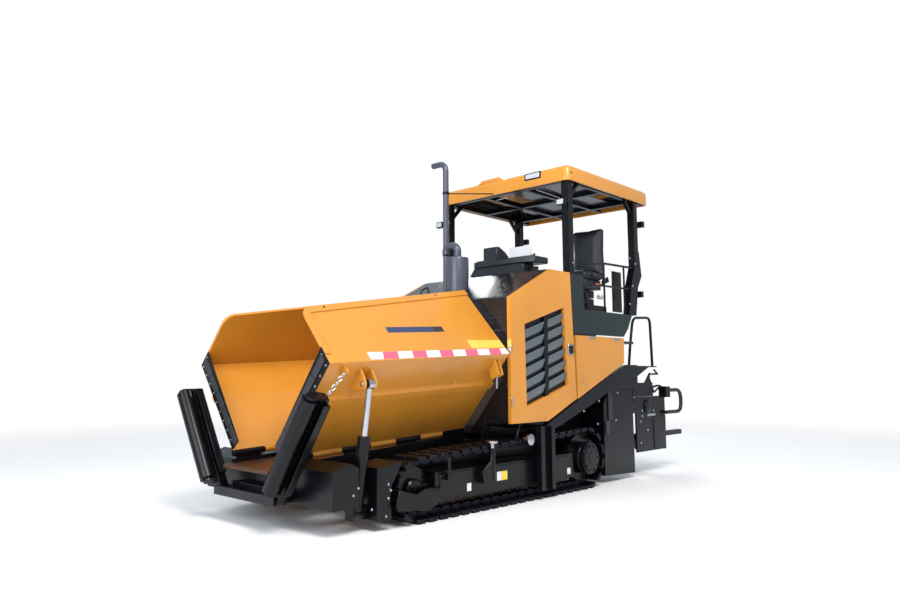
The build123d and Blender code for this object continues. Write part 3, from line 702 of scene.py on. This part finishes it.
def add_sleeves(wing):
    """Hinge sleeves: every second one of the knuckles turns with the wing."""
    for index in range(1, KNUCKLES, 2):
        ends = [WING_REAR + (index + share) * knuckle for share in (0.02, 0.98)]
        wing.rod(*[(x, HINGE_Y, float(hinge_height(x))) for x in ends], 0.028)


# %% [markdown]
# ### Wear strip and bolts
# A strip along the front edge keeps the load from spilling: a black backing, five rubber pads and a
# row of bolts. A Boolean could cut one strip into pads; here a loop sets down each pad between two
# distances up the floor plate, so the gaps come out even. The pins of the ears join the bolts.

# %% Forms of the wear strip and the pins
PADS, STRIP, STRIP_THICK = 5, 0.186, 0.008


def wear_strip():
    """Backing, pads and bolts at the front edge, from points up the floor plate."""
    backing, pads, studs = Kit(), Kit(), Kit()
    front = np.array([WING_FRONT])
    corners = [floor_point(front, s, d)[0] for s, d in ((0.040, 0), (0.987, 0))]
    tip = lip_point(front, hinge_height(WING_FRONT) + FOLD_UP + 0.125)[0]
    inner = floor_point(front, 0.040, 0.120)[0]
    backing.prism([corners[0], corners[1], tip, inner], (STRIP_THICK, 0, 0))
    outside = front + STRIP_THICK
    for index in range(PADS):
        low, high = 0.044 + index * STRIP, 0.226 + index * STRIP
        last = high + 0.018 * (index == PADS - 1)
        pads.prism([floor_point(outside, s, d)[0] for s, d in
                    ((low, 0.050), (high, 0.050), (last, 0.120), (low, 0.120))], (STRIP_THICK, 0, 0))
    for index in range(9):
        studs.bolt(floor_point(outside, 0.122 + 0.1035 * index, 0.024)[0], (1, 0, 0), 0.008)
    lip_bolt = lip_point(outside, hinge_height(WING_FRONT) + FOLD_UP + 0.085)[0]
    studs.bolt(lip_bolt + (0, *(LIP_IN * 0.027)), (1, 0, 0), 0.008)
    return backing, pads, studs


def add_pins(studs):
    """The pin that the lift rod's eye turns on, with a collar at each end, and two pins at the rear
    gussets."""
    studs.rod((1.790, 0.950, 1.170), (1.934, 0.950, 1.170), 0.013)
    for x, way in ((1.928, 1), (1.796, -1)):
        studs.lathe((x, 0.950, 1.170), (way, 0, 0), ((0.022, 0), (0.022, 0.006), (0.016, 0.010)))
    studs.rod((0.202, 0.930, 1.107), (0.202, 0.930, 1.262), 0.009)
    studs.rod((0.170, 0.930, 1.250), (0.236, 0.930, 1.250), 0.011)


# %% [markdown]
# ### Both wings
# A Mirror modifier would bind the two wings into one mesh, but each turns on its own hinge. So every
# form is set down once for each side, and `finish` mirrors the right one.

# %% Left and right wing
for name, side in SIDES:
    body = f"wing_{name}"
    wing = Kit()
    for add in (add_plate, add_rim, add_ears, add_sleeves):
        add(wing)
    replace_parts(wing.finish(f"hopper_wing_dressed_{name}", body, yellow, side, bevel=0.002),
                f"hopper_wing_{name}")
    backing, pads, studs = wear_strip()
    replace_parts(backing.finish(f"flap_backing_{name}", body, black, side), f"wing_flap_{name}")
    pads.finish(f"flap_pads_{name}", body, pad_rubber, side, bevel=0.002)
    add_pins(studs)
    studs.finish(f"wing_bolts_{name}", body, steel, side)

# %% [markdown]
# ### Holes in the rim
# The left rim has two small holes. A Boolean would break the even strip, so thin dark disks stand for
# them; a disk is a turned profile of one radius.

# %% Rim holes
holes = Kit()
for x in (2.034, 0.556):
    place = lip_point(np.array([x]), edge_height(np.array([x])) - 0.020)[0]
    holes.lathe(place + proud * 0.8, proud, ((0.012, 0), (0.012, 0.003)), 16)
holes.finish("rim_holes", "wing_left", black)

# %% [markdown]
# ## Chain between the wing and the folded arm
# A short chain runs between the hook plate on the left wing and the folded arm. A curve with an Array
# modifier could carry it, but five links need only a closed tube each, a quarter turn from the last.
# It is stiff and rides on the wing, 7 mm clear of the plate and 12 mm clear of the arm, and its lower
# end parts from the arm when either one moves.

# %% Hook chain
LINKS, LINK_LONG, LINK_WIDE, WIRE = 5, 0.029, 0.014, 0.005  # half lengths and the wire's radius
chain = Kit()
chain_top, chain_low = np.array((2.130, 0.985, 1.263)), np.array((2.312, 1.005, 1.095))
chain_run = chain_low - chain_top
way = chain_run / np.linalg.norm(chain_run)
u, v = across(way[None])
loop = circle(14)
for index in range(LINKS):
    middle = chain_top + chain_run * (index + 0.5) / LINKS
    flat = u[0] if index % 2 else v[0]
    chain.pipe(middle + loop[:, :1] * LINK_LONG * way + loop[:, 1:] * LINK_WIDE * flat, WIRE, 8, True)
chain.finish("hook_chain", "wing_left", steel)
print("length of the chain", round(float(np.linalg.norm(chain_run)), 3), "m")

# %% [markdown]
# ## Push arm channels
# Each arm is a wide channel that carries its roller. A profile could be swept along it, but a straight
# channel is only three long plates, a web and two flanges, set along the arm, which leans 56 degrees
# when it is folded. They start clear of the mount that it turns on.

# %% Arm channels
ARM_FOOT, ARM_LEAN = np.array((0.420, 0.265)), np.radians(56)
arm_way = np.array((np.cos(ARM_LEAN), np.sin(ARM_LEAN)))
arm_side = np.array((-arm_way[1], arm_way[0]))
for name, side in SIDES:
    channel = Kit()
    for x, depth, low, high in ((2.306, 0.012, -0.098, 0.098), (2.306, 0.066, -0.098, -0.086),
                                (2.306, 0.066, 0.086, 0.098)):
        ring = [ARM_FOOT + arm_way * s + arm_side * w for s, w in
                ((0.110, low), (0.960, low), (0.960, high), (0.110, high))]
        channel.front(x, depth, ring)
    channel.finish(f"arm_channel_{name}", f"arm_{name}", black, side, bevel=0.002)

# %% [markdown]
# ## Engine door: louvres, latch and hinges
# Six sloping louvres fill the door's opening, in two runs either side of a stem. Each is a leaning
# plate with a small lip along its upper edge. An Array and a Boolean could trim a row of them but
# leave thin slivers, so each blade's ends are worked out from the opening's slanting edges.

# %% Louvres, latches and hinges
PITCH = 0.129  # from one louvre to the next
for name, side in SIDES:
    body = f"door_{name}"
    blades, lips, back = Kit(), Kit(), Kit()
    for index in range(6):
        for ends in ((None, -0.585), (-0.660, None)):
            # the opening's edges slant: stations move forward as the blades climb
            front = ends[0] if ends[0] is not None else -0.262 + 0.0505 * index * PITCH
            rear = ends[1] if ends[1] is not None else -0.990 + 0.0562 * (index * PITCH + 0.05)
            x = np.array((front, rear))
            upper = 1.035 + PITCH * index + 0.304 * (-0.262 - x)
            ring = [np.stack([x, 0 * x + y, upper - d], -1) for y, d in
                    ((0.9385, 0.0), (0.9385, 0.006), (0.916, 0.078), (0.912, 0.076), (0.932, 0.004))]
            blades.loft(np.stack(ring, 1))
            ring = [np.stack([x, 0 * x + y, upper + d], -1) for y, d in
                    ((0.940, -0.004), (0.9425, 0.006), (0.934, 0.016), (0.926, 0.012))]
            lips.loft(np.stack(ring, 1))
    back.side(0.9095, 0.003, ((-0.275, 0.915), (-0.235, 1.755), (-0.952, 1.970), (-1.002, 1.125)))
    back.side(0.913, 0.024, ((-0.590, 1.015), (-0.590, 1.850), (-0.655, 1.870), (-0.655, 1.035)))
    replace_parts(blades.finish(f"louvre_blades_{name}", body, louvre_grey, side), f"door_grille_{name}")
    lips.finish(f"louvre_lips_{name}", body, louvre_grey, side)
    back.finish(f"louvre_backing_{name}", body, black, side)
    fittings = Kit()
    fittings.side(0.950, 0.010, ((-1.115, 1.450), (-1.115, 1.570), (-1.005, 1.570), (-1.005, 1.450)))
    for low, high in ((0.925, 1.022), (1.452, 1.536)):
        fittings.slab((-0.018, 0.005), (0.950, 0.958), (low, high))
    fittings.finish(f"door_fittings_{name}", body, steel, side, bevel=0.002)
    catch = Kit()
    catch.side(0.960, 0.004, ((-1.098, 1.466), (-1.098, 1.554), (-1.024, 1.554), (-1.024, 1.466)))
    catch.finish(f"door_catch_{name}", body, black, side, bevel=0.001)
    lid = Kit()
    for rear, front in ((-1.558, -1.437), (-2.120, -1.986)):
        lid.slab((rear, front), (0.946, 0.956), (1.640, 1.668))
    lid.lathe((-1.293, 0.950, 1.141), (0, 1, 0), ((0.014, 0), (0.014, 0.004), (0.010, 0.006)))
    lid.finish(f"lid_fittings_{name}", f"lid_{name}", steel, side, bevel=0.001)

# %% [markdown]
# ## Hood and exhaust
# The silencer is a turned drum. A bend joins it to the tall pipe, whose mouth turns aside so that
# rain stays out. A curve object with a round bevel would give the tube; here a circle is carried
# along a line whose corners are rounded first, which gives a known number of faces.

# %% Silencer and pipe
stack = Kit()
stack.lathe((-0.300, -0.018, 2.100), (0, 0, 1),
            ((0.123, 0), (0.123, 0.425), (0.118, 0.442), (0.100, 0.450), (0.048, 0.452)), 40)
stack.pipe(bent(((-0.300, -0.018, 2.530), (-0.300, -0.018, 2.690), (-0.300, -0.195, 2.690),
                 (-0.300, -0.195, 2.600)), 0.085, 8), 0.042, 20)
stack.pipe(bent(((-0.300, -0.195, 2.120), (-0.300, -0.195, 3.680), (-0.300, -0.400, 3.684)),
                0.105, 9), 0.034, 20)
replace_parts(stack.finish("exhaust_stack", "chassis", exhaust_grey, bevel=0.002), "exhaust")
bands = Kit()
for z in (2.600, 3.320):
    bands.lathe((-0.300, -0.195, z - 0.016), (0, 0, 1), ((0.039, 0), (0.039, 0.032)), 24)
bands.rod((-0.340, -0.190, 3.325), (-1.085, -0.107, 3.440), 0.007)
bands.slab((-0.460, -0.140), (-0.225, 0.165), (2.086, 2.150))
bands.finish("exhaust_bands", "chassis", black, bevel=0.002)

# %% [markdown]
# ### Hood details
# Vent slots, two lighter strips and two bent grips break up the broad hood. The strips are painted
# highlights along the upper and lower edges of the proud front panel. Slots could be cut with a Boolean;
# thin matt slabs on its face look the same and leave the solid whole.

# %% Vents, painted edge highlights and grips
hood = Kit()
for row in range(3):
    for column in range(2):
        y, z = 0.640 + column * 0.105, 1.756 + row * 0.048
        hood.slab((-0.036, -0.031), (y, y + 0.078), (z, z + 0.018))
hood.finish("hood_vents", "chassis", hose_rubber, both=True)
# lighter grey strips along the upper and lower edges of the hood's proud front panel: painted highlights
# where the edges catch the light
painted_edge_highlights = Kit()
for z in (1.683, 2.018):
    painted_edge_highlights.slab((-0.035, -0.0325), (-0.900, 0.900), (z, z + 0.005))
painted_edge_highlights.finish("hood_painted_highlight_strips", "chassis", louvre_grey)
grips = Kit()
for y in (0.600, -0.600):
    grips.pipe(bent(((-0.300, y, 2.150), (-0.300, y, 2.215), (-0.420, y, 2.275), (-0.420, y, 2.210)),
                    0.03, 5), 0.009, 10)
grips.finish("hood_grips", "chassis", black)

# %% [markdown]
# ## Canopy
# The roof is a shallow pressed shell: a rounded rectangle that is drawn in at the top, with a
# crown and a raised middle. A bevelled box would have a flat top, so one skin runs from the lining
# down to the rim and up over the crown, and stays closed.


# %% Roof shell
def rounded_rectangle(inset, corner, count=16):
    """Outline of the roof drawn in by inset: four quarter circles joined by straight sides."""
    x0, x1, y1 = -2.920 + inset, -1.060 - inset, 0.980 - inset
    turn = np.linspace(0, np.pi / 2, count)
    quarter = np.stack([np.cos(turn), np.sin(turn)], -1) * corner
    left = np.stack([-np.sin(turn), np.cos(turn)], -1) * corner
    turned = [quarter, left, -quarter, -left]
    centres = ((x1 - corner, y1 - corner), (x0 + corner, y1 - corner),
               (x0 + corner, corner - y1), (x1 - corner, corner - y1))
    return np.vstack([q + c for q, c in zip(turned, centres)])


roof = Kit()
shell = ((0.500, 3.606, 0.02), (0.200, 3.590, 0.03), (0.030, 3.560, 0.05), (0.024, 3.421, 0.06),
         (0.000, 3.420, 0.07), (0.000, 3.545, 0.07), (0.006, 3.575, 0.07), (0.022, 3.592, 0.06),
         (0.120, 3.606, 0.05), (0.300, 3.620, 0.04), (0.500, 3.628, 0.02))
roof.loft([np.hstack([rounded_rectangle(inset, corner), np.full((64, 1), z)])
           for inset, z, corner in shell])
roof.front(-1.100, -1.780, ((-0.390, 3.600), (-0.320, 3.645), (-0.040, 3.645), (0.030, 3.600)))
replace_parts(roof.finish("canopy_shell", "chassis", roof_paint, bevel=0.003), "canopy_roof")
# %% [markdown]
# ### Lamp, panels and rails
# A lamp sits in the front wall of the roof, flat panels line it and thin rails cross below them. They
# could be modelled with all their edges, but in the shade under the roof plain boxes and bars do.

# %% Under the roof
dark = Kit()
dark.slab((-1.075, -1.056), (0.372, 0.606), (3.505, 3.588))
dark.slab((-1.95, -1.25), (-0.02, 0.26), (3.462, 3.470))
dark.slab((-1.95, -1.25), (0.34, 0.84), (3.462, 3.470))
dark.slab((-2.62, -2.05), (-0.52, 0.62), (3.462, 3.470))
dark.lathe((-1.121, 0.976, 3.506), (0, 1, 0), ((0.014, 0), (0.014, 0.006)), 18)
dark.finish("canopy_panels", "chassis", grey_dark, bevel=0.003)
glass = Kit()
glass.slab((-1.058, -1.050), (0.392, 0.585), (3.520, 3.575))
glass.finish("canopy_lamp_glass", "chassis", lens, bevel=0.002)
rails = Kit()
for a, b in (((-1.239, 0.406), (-1.828, 0.365)), ((-1.332, 0.258), (-1.886, 0.263)),
             ((-1.902, 0.601), (-1.945, 0.930)), ((-2.698, -0.546), (-2.639, 0.659)),
             ((-1.34, -0.311), (-1.314, -0.069))):
    rails.rod((*a, 3.436), (*b, 3.436), 0.009)
rails.finish("canopy_rails", "chassis", steel)

# %% [markdown]
# ### Posts and lamps
# Braces stiffen the posts under the roof, and small box lamps stand on short straps. Lamps could be
# placed by hand one by one; a list of their places sets down housing, strap and glass together.

# %% Braces, lamps and bolts
# each lamp: station, offset, height, root of its strap, and the way that it faces
LAMPS = ((-0.985, 0.925, 3.150, -1.100, 1), (-2.800, 0.915, 3.160, -2.680, -1),
         (-2.710, 0.915, 2.244, -2.560, -1))
posts = Kit()
for points in (((-1.185, 3.230), (-1.185, 3.290), (-1.310, 3.420), (-1.370, 3.420)),
               ((-2.585, 3.230), (-2.585, 3.290), (-2.455, 3.420), (-2.395, 3.420))):
    posts.side(0.880, 0.040, points)
posts.side(0.895, 0.012, ((-2.549, 2.517), (-2.697, 2.507), (-2.677, 2.406), (-2.623, 2.156),
                          (-2.576, 2.007)))
posts.slab((-2.650, -2.430), (0.690, 0.706), (2.020, 2.540))
for x, y, z, root, _ in LAMPS:
    posts.slab((x - 0.028, x + 0.028), (y - 0.052, y + 0.052), (z - 0.038, z + 0.038))
    posts.slab((min(root, x), max(root, x)), (y - 0.008, y + 0.008), (z - 0.010, z + 0.010))
posts.finish("post_fittings", "chassis", black, both=True, bevel=0.004)
shine = Kit()
for x, y, z, _, way in LAMPS:
    face = sorted((x + way * 0.027, x + way * 0.033))
    shine.slab(face, (y - 0.042, y + 0.042), (z - 0.028, z + 0.028))
shine.finish("work_lamp_glass", "chassis", lens, both=True, bevel=0.003)
studs = Kit()
for x, z in ((-2.453, 2.679), (-2.584, 2.620), (-1.164, 2.482), (-2.503, 2.332), (-2.415, 2.103)):
    studs.bolt((x, 0.945, z), (0, 1, 0), 0.010)
studs.finish("post_bolts", "chassis", steel, both=True)

# %% [markdown]
# ## Operator's station
# Foam under a cover has no flat faces and no sharp edges. Sculpting could give that; here each cushion
# starts as a block with rounded edges that is given even quads and blown up as cloth, so the bulge
# comes from the material.


# %% Cushions
EVEN, PUFF_FRAMES = 0.008, 14  # side of a quad; frames that the cloth is run for


def cushion(name, low, high, rounding, puff):
    """A soft block: a box with rounded edges, remeshed to even quads and blown up as cloth. The
    print gives how far its length, width and height grew."""
    kit = Kit()
    (x0, y0, z0), (x1, y1, z1) = low, high
    kit.slab((x0, x1), (y0, y1), (z0, z1))
    piece = kit.finish(name, "chassis", vinyl)
    bpy.context.view_layer.objects.active = piece
    chamfer = piece.modifiers.new("round", "BEVEL")
    chamfer.width, chamfer.segments = rounding, 4
    remesh = piece.modifiers.new("even", "REMESH")
    remesh.mode, remesh.voxel_size = "VOXEL", EVEN
    cloth = piece.modifiers.new("cloth", "CLOTH")
    cloth.settings.use_pressure = True
    cloth.settings.uniform_pressure_force = puff
    cloth.settings.effector_weights.gravity = 0.0
    cloth.settings.tension_stiffness = cloth.settings.compression_stiffness = 15.0
    for step in range(1, PUFF_FRAMES + 1):
        bpy.context.scene.frame_set(step)
    graph = bpy.context.evaluated_depsgraph_get()
    settled = bpy.data.meshes.new_from_object(piece.evaluated_get(graph))
    piece.modifiers.clear()
    piece.data = settled
    bpy.context.scene.frame_set(1)
    settled.polygons.foreach_set("use_smooth", [True] * len(settled.polygons))
    points = np.empty(3 * len(settled.vertices), np.float32)
    settled.vertices.foreach_get("co", points)
    grown = np.ptp(points.reshape(-1, 3), axis=0) - np.subtract(high, low)
    print(name, "grew by", np.round(grown * 1000, 1), "mm")
    return piece


back_rest = cushion("seat_back", (-2.355, 0.222, 2.465), (-2.275, 0.662, 3.080), 0.035, 2.5)
cushion_low = cushion("seat_cushion", (-2.265, 0.215, 2.400), (-1.850, 0.668, 2.492), 0.035, 2.5)
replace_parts(back_rest, "seat")
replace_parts(cushion_low, "seat")

# %% [markdown]
# ### Suspension and trim
# Under the seat are a plinth, a stack of bellows folds and a pan, with a rail, an orange strip and a
# white canister. A Screw modifier would suit round bellows; square ones are a stack of slabs, each
# second one drawn in a little.

# %% Seat base
base = Kit()
base.slab((-2.200, -1.880), (0.290, 0.590), (1.640, 1.780))
for index in range(5):
    base.slab((-2.190 + 0.006 * (index % 2), -1.890 - 0.006 * (index % 2)), (0.300, 0.580),
              (1.780 + index * 0.100, 1.870 + index * 0.100))
base.slab((-2.240, -1.860), (0.230, 0.650), (2.280, 2.395))
base.side(0.655, 0.014, ((-2.390, 2.470), (-2.240, 2.400), (-2.240, 2.340), (-2.420, 2.400)))
base.pipe(bent(((-2.270, 0.690, 2.380), (-2.230, 0.690, 2.440), (-2.000, 0.690, 2.440)), 0.05, 5),
          0.020, 12)
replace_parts(base.finish("seat_suspension", "chassis", plastic, bevel=0.006), "seat_base")
trim = Kit()
trim.slab((-2.294, -2.113), (0.650, 0.662), (2.335, 2.362))
trim.finish("seat_trim", "chassis", orange, bevel=0.003)
bottle = Kit()
bottle.rod((-2.223, 0.620, 2.200), (-2.303, 0.620, 2.200), 0.030, sides=24)
bottle.finish("seat_canister", "chassis", white_paint, bevel=0.006)

# %% [markdown]
# ### Desk
# The console is a desk on a pedestal with a hooded display and levers. Subdivision would round it all
# over; slabs and sloping sections under one Bevel modifier keep flat faces and an even eased edge.

# %% Desk, panel and levers
desk = Kit()
desk.slab((-1.290, -1.110), (-0.300, 0.300), (1.640, 2.430))
desk.front(-1.310, 0.210, ((-0.534, 2.448), (-0.425, 2.590), (0.300, 2.545), (0.300, 2.430),
                            (-0.414, 2.430)))
desk.prism([(-1.08, -0.446, 2.545), (-1.08, 0.300, 2.545), (-1.140, 0.449, 2.545),
            (-1.400, 0.449, 2.545), (-1.400, -0.446, 2.545)], (0, 0, 0.075))
desk.side(-0.325, 0.218, ((-1.120, 2.615), (-1.120, 2.790), (-1.180, 2.790), (-1.300, 2.735),
                           (-1.400, 2.650), (-1.400, 2.615)))
desk.slab((-1.290, -1.230), (0.240, 0.390), (2.450, 2.510))
desk.slab((-1.270, -1.130), (-0.449, -0.330), (2.600, 2.640))
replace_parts(desk.finish("operator_desk", "chassis", plastic, bevel=0.008), "console")
panel = Kit()
panel.slab((-1.235, -1.205), (0.017, 0.333), (2.640, 2.766))
panel.finish("desk_panel", "chassis", white_paint, bevel=0.006)
knobs = Kit()
for y in (0.098, 0.136, 0.190, 0.228, 0.297):
    knobs.lathe((-1.330, y, 2.612), (0, 0, 1), ((0.008, 0), (0.008, 0.045), (0.012, 0.050),
                                               (0.012, 0.068), (0.006, 0.074)), 14)
knobs.finish("desk_levers", "chassis", black)
knobs = Kit()
knobs.lathe((-1.330, 0.262, 2.612), (0, 0, 1), ((0.010, 0), (0.010, 0.035), (0.018, 0.040),
                                               (0.018, 0.056), (0.010, 0.062)), 18)
knobs.finish("desk_stop", "chassis", red_paint)

# %% [markdown]
# ### Handrails
# Bent tube runs along each side and drops to the side boxes, with two uprights. Skin or curve tools
# could make it; a rounded line with a circle carried along it keeps the tube even through its bends.

# %% Handrails
handrail = Kit()
handrail.pipe(bent(((-1.468, 0.920, 1.966), (-1.468, 0.920, 2.050), (-1.390, 0.920, 2.260),
                    (-1.388, 0.920, 2.425), (-1.480, 0.920, 2.490), (-1.859, 0.920, 2.552),
                    (-2.550, 0.920, 2.568)), 0.04, 5), 0.014, 12)
handrail.pipe(bent(((-1.400, 0.920, 2.218), (-1.516, 0.920, 2.244), (-1.801, 0.920, 2.281),
                    (-2.450, 0.920, 2.290)), 0.06, 5), 0.012, 12)
for x, top in ((-1.860, 2.548), (-2.330, 2.560)):
    handrail.rod((x, 0.920, 1.966), (x, 0.920, top), 0.012)
handrail.slab((-2.090, -1.685), (0.790, 0.806), (1.990, 2.056))
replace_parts(handrail.finish("station_rails", "chassis", black, both=True), "handrails")
# %% [markdown]
# ### Side vents
# Two columns of seven narrow slots sit on each side, ahead of the rails. Cutting them would need a
# Boolean; thin dark slabs on the face look the same and leave the solid whole.

# %% Side vents
slots = Kit()
for index in range(7):
    for x in (-1.215, -1.262):
        slots.slab((x, x + 0.036), (0.9495, 0.9515), (2.168 + index * 0.024, 2.179 + index * 0.024))
slots.finish("column_vents", "chassis", hose_rubber, both=True)

# %% [markdown]
# ## Rear access and auger carriers
# Tread plates with tube rails stand behind the station on both sides. They could be modelled twice,
# but all is set down once, on the left, and `finish` repeats it to the right, so both sides agree.

# %% Treads and rails
access = Kit()
access.slab((-3.240, -2.530), (0.700, 0.850), (1.330, 1.345))
access.side(0.850, 0.012, ((-2.530, 1.330), (-3.000, 1.330), (-2.530, 1.150)))
access.pipe(bent(((-2.600, 0.800, 1.345), (-2.650, 0.800, 1.612), (-2.740, 0.800, 1.955),
                  (-3.190, 0.800, 1.980), (-3.215, 0.800, 1.345)), 0.09, 6), 0.017, 12)
access.finish("rear_access", "chassis", black, both=True, bevel=0.002)

# %% [markdown]
# ### Auger carriers
# Each carrier has a bearing boss, a side plate, blocks and short bars. A sculpted casting would need
# far more faces; plates and a turned boss give the parts that catch the light.

# %% Carrier fittings
carrier = Kit()
carrier.side(0.854, 0.014, ((-3.068, 0.705), (-3.395, 0.705), (-3.385, 0.275), (-3.068, 0.300)))
carrier.lathe((-2.920, 0.860, 0.837), (0, 1, 0), ((0.085, 0), (0.085, 0.014), (0.070, 0.022),
                                                 (0.030, 0.022)), 32)
carrier.slab((-3.150, -2.640), (0.720, 0.830), (0.960, 1.130))
carrier.slab((-3.450, -3.330), (0.815, 0.920), (0.940, 1.080))
carrier.side(0.800, 0.020, ((-2.942, 1.111), (-3.100, 1.100), (-3.110, 1.261)))
for a, b in (((-3.10, 1.18), (-3.21, 1.004)), ((-3.10, 1.24), (-3.33, 1.242)),
             ((-3.21, 1.004), (-3.40, 1.087)), ((-3.233, 1.299), (-3.33, 1.242))):
    carrier.rod((a[0], 0.810, a[1]), (b[0], 0.810, b[1]), 0.012)
carrier.finish("carrier_fittings", "chassis", black, both=True, bevel=0.003)

# %% [markdown]
# ### Hoses
# Two hoses on each side keep their shape: a wide loop at the rear and a short one above it. A
# Soft Body would suit a limp one. Each is a tube along a line with wide bends, and the prints give
# their lengths. The loop's lower end is open, 6 mm clear of the auger mount.

# %% Rear hoses
loop_path = bent(((-3.400, 0.890, 1.030), (-3.812, 0.890, 1.030), (-3.812, 0.890, 0.745),
                  (-3.360, 0.890, 0.745)), 0.128, 9)
short_path = bent(((-3.150, 0.780, 1.060), (-3.300, 0.840, 1.100), (-3.380, 0.860, 1.050)), 0.06, 6)
hose = Kit()
hose.pipe(loop_path, 0.024, 14)
hose.pipe(short_path, 0.014, 10)
hose.finish("carrier_hoses", "chassis", hose_rubber, both=True)
for path in (loop_path, short_path):
    print("hose length", round(float(np.linalg.norm(np.diff(path, axis=0), axis=1).sum()), 3), "m")

# %% [markdown]
# ### Fasteners and bars on the sides
# A bolt is a washer and a chamfered hexagon, both turned profiles with few faces. Screws could be
# instances of one mesh, but joined into one piece they stay light and ride their body together.

# %% Side bolts and bars
studs = Kit()
for x, z in ((-2.777, 0.719), (-2.734, 0.653), (-2.908, 0.539), (-2.727, 0.393), (-2.980, 0.868),
             (-3.071, 0.781), (-2.782, 0.786)):
    studs.bolt((x, 0.861, z), (0, 1, 0), 0.011)
studs.slab((-3.110, -2.900), (0.861, 0.872), (0.712, 0.742))
for x, z in ((-2.029, 1.023), (-1.612, 0.941), (-1.577, 0.685), (-1.295, 0.838), (-1.977, 0.706)):
    studs.bolt((x, 0.951, z), (0, 1, 0), 0.010)
studs.lathe((-0.205, 0.950, 0.603), (0, 1, 0), ((0.030, 0), (0.030, 0.044), (0.055, 0.046),
                                               (0.055, 0.078), (0.046, 0.082)), 28)
for x, z in ((1.938, 0.363), (1.987, 0.313), (1.638, 0.364), (1.610, 0.313), (1.636, 0.253),
             (1.661, 0.116), (1.814, 0.189)):
    studs.bolt((x, 0.951 if x < 1.93 else 0.931, z), (0, 1, 0), 0.008)
studs.finish("side_bolts", "chassis", steel, both=True, bevel=0.001)
stay = Kit()
stay.side(0.880, 0.020, ((-0.210, 0.745), (-0.190, 0.762), (-0.120, 0.575), (-0.140, 0.555)))
stay.slab((-1.975, -1.884), (0.901, 0.915), (0.720, 1.045))
stay.side(0.901, 0.012, ((-1.920, 0.710), (-1.808, 0.700), (-1.830, 0.552), (-1.900, 0.552)))
stay.finish("side_bars", "chassis", grey_dark, both=True, bevel=0.003)

# %% [markdown]
# ## Floor
# The machine stands on pale ground. A plane is enough, but its far edge would draw a horizon, so the
# camera, and nothing else, sees it fade to white. The fade is a Mix Shader whose factor is distance.


# %% Floor
def soft_floor():
    """A pale floor that fades into the pale surroundings."""
    bpy.ops.mesh.primitive_plane_add(size=120)
    floor = bpy.context.object
    floor.name = "studio_floor"
    tree = new_tree("floor_pale")
    vector = position(tree)[0]
    shade = noise(vector, 0.3, 2.0).mix((0.86, 0.86, 0.87, 1), (0.90, 0.90, 0.91, 1))
    floor.data.materials.append(finish_shader("floor_pale", shade, 0.75, edge=0))
    # far from the machine the floor fades to the plain white of the backdrop, for the camera only
    distance = vector.node("VectorMath", out="Value", inputs={0: vector}, operation="LENGTH")
    seen = distance.ramp(4.5, 13.0) * vector.node("LightPath", out="Is Camera Ray")
    glow = vector.node("Emission", inputs={"Color": (1, 1, 1, 1), "Strength": 1.0})
    body = Sock(tree, tree.nodes["Principled BSDF"].outputs[0])
    blend = seen.node("MixShader", inputs={0: seen})
    tree.links.new(body.socket, blend.socket.node.inputs[1])
    tree.links.new(glow.socket, blend.socket.node.inputs[2])
    tree.links.new(blend.socket, tree.nodes["Material Output"].inputs["Surface"])


soft_floor()


# %% [markdown]
# ## Light
# Even daylight could come from a sky picture. A pale world with three large disk lamps is easier to
# steer, and large lamps give soft shadows. The camera sees the world as plain white.


# %% World and lamps
def lamp(name, place, target, size, power, colour):
    """An area light at place, turned to target."""
    light = bpy.data.lights.new(name, "AREA")
    light.shape, light.size, light.energy, light.color = "DISK", size, power, colour
    holder = bpy.data.objects.new(name, light)
    holder.location = place
    holder.rotation_euler = (Vector(target) - Vector(place)).to_track_quat("-Z", "Y").to_euler()
    bpy.context.collection.objects.link(holder)


world = bpy.data.worlds.new("studio")
bpy.context.scene.world = world
world.use_nodes = True
light_tree = world.node_tree
soft = light_tree.nodes["Background"]
soft.inputs["Color"].default_value = (0.84, 0.91, 1.0, 1)
soft.inputs["Strength"].default_value = 0.62
plain = light_tree.nodes.new("ShaderNodeBackground")
plain.inputs["Color"].default_value = (1, 1, 1, 1)
ray, choice = light_tree.nodes.new("ShaderNodeLightPath"), light_tree.nodes.new("ShaderNodeMixShader")
light_tree.links.new(ray.outputs["Is Camera Ray"], choice.inputs[0])
light_tree.links.new(soft.outputs[0], choice.inputs[1])
light_tree.links.new(plain.outputs[0], choice.inputs[2])
light_tree.links.new(choice.outputs[0], light_tree.nodes["World Output"].inputs["Surface"])
lamp("key", (4.5, 6.5, 9.5), (0, 0, 1), 5.0, 1150, (1.0, 0.96, 0.90))
lamp("fill", (9, 1, 4), (0.5, 0, 1.2), 6.0, 420, (0.92, 0.96, 1.0))
lamp("back", (-7, -5, 7), (0, 0, 1.5), 5.0, 380, (0.95, 0.98, 1.0))

# %% [markdown]
# ## Camera
# The camera stands low, ahead of the machine and to its left, and looks slightly up. Aiming it with a
# Track To constraint would tie it to a target; two angles say the same and are easy to read. A small
# shift moves the machine in the frame without turning the camera.

# %% Camera
YAW, TILT = np.radians(224.18), np.radians(7.33)
camera = bpy.data.cameras.new("camera")
camera.sensor_width = 36.0
camera.lens = 29.008
camera.shift_x, camera.shift_y = 0.0248, -0.0230
eye = bpy.data.objects.new("camera", camera)
bpy.context.collection.objects.link(eye)
eye.location = (TRACK_X + 5.74, 5.38, 1.26)
gaze = Vector((np.cos(YAW) * np.cos(TILT), np.sin(YAW) * np.cos(TILT), np.sin(TILT)))
eye.rotation_euler = gaze.to_track_quat("-Z", "Y").to_euler()
bpy.context.scene.camera = eye
bpy.context.scene.view_settings.view_transform = "Standard"
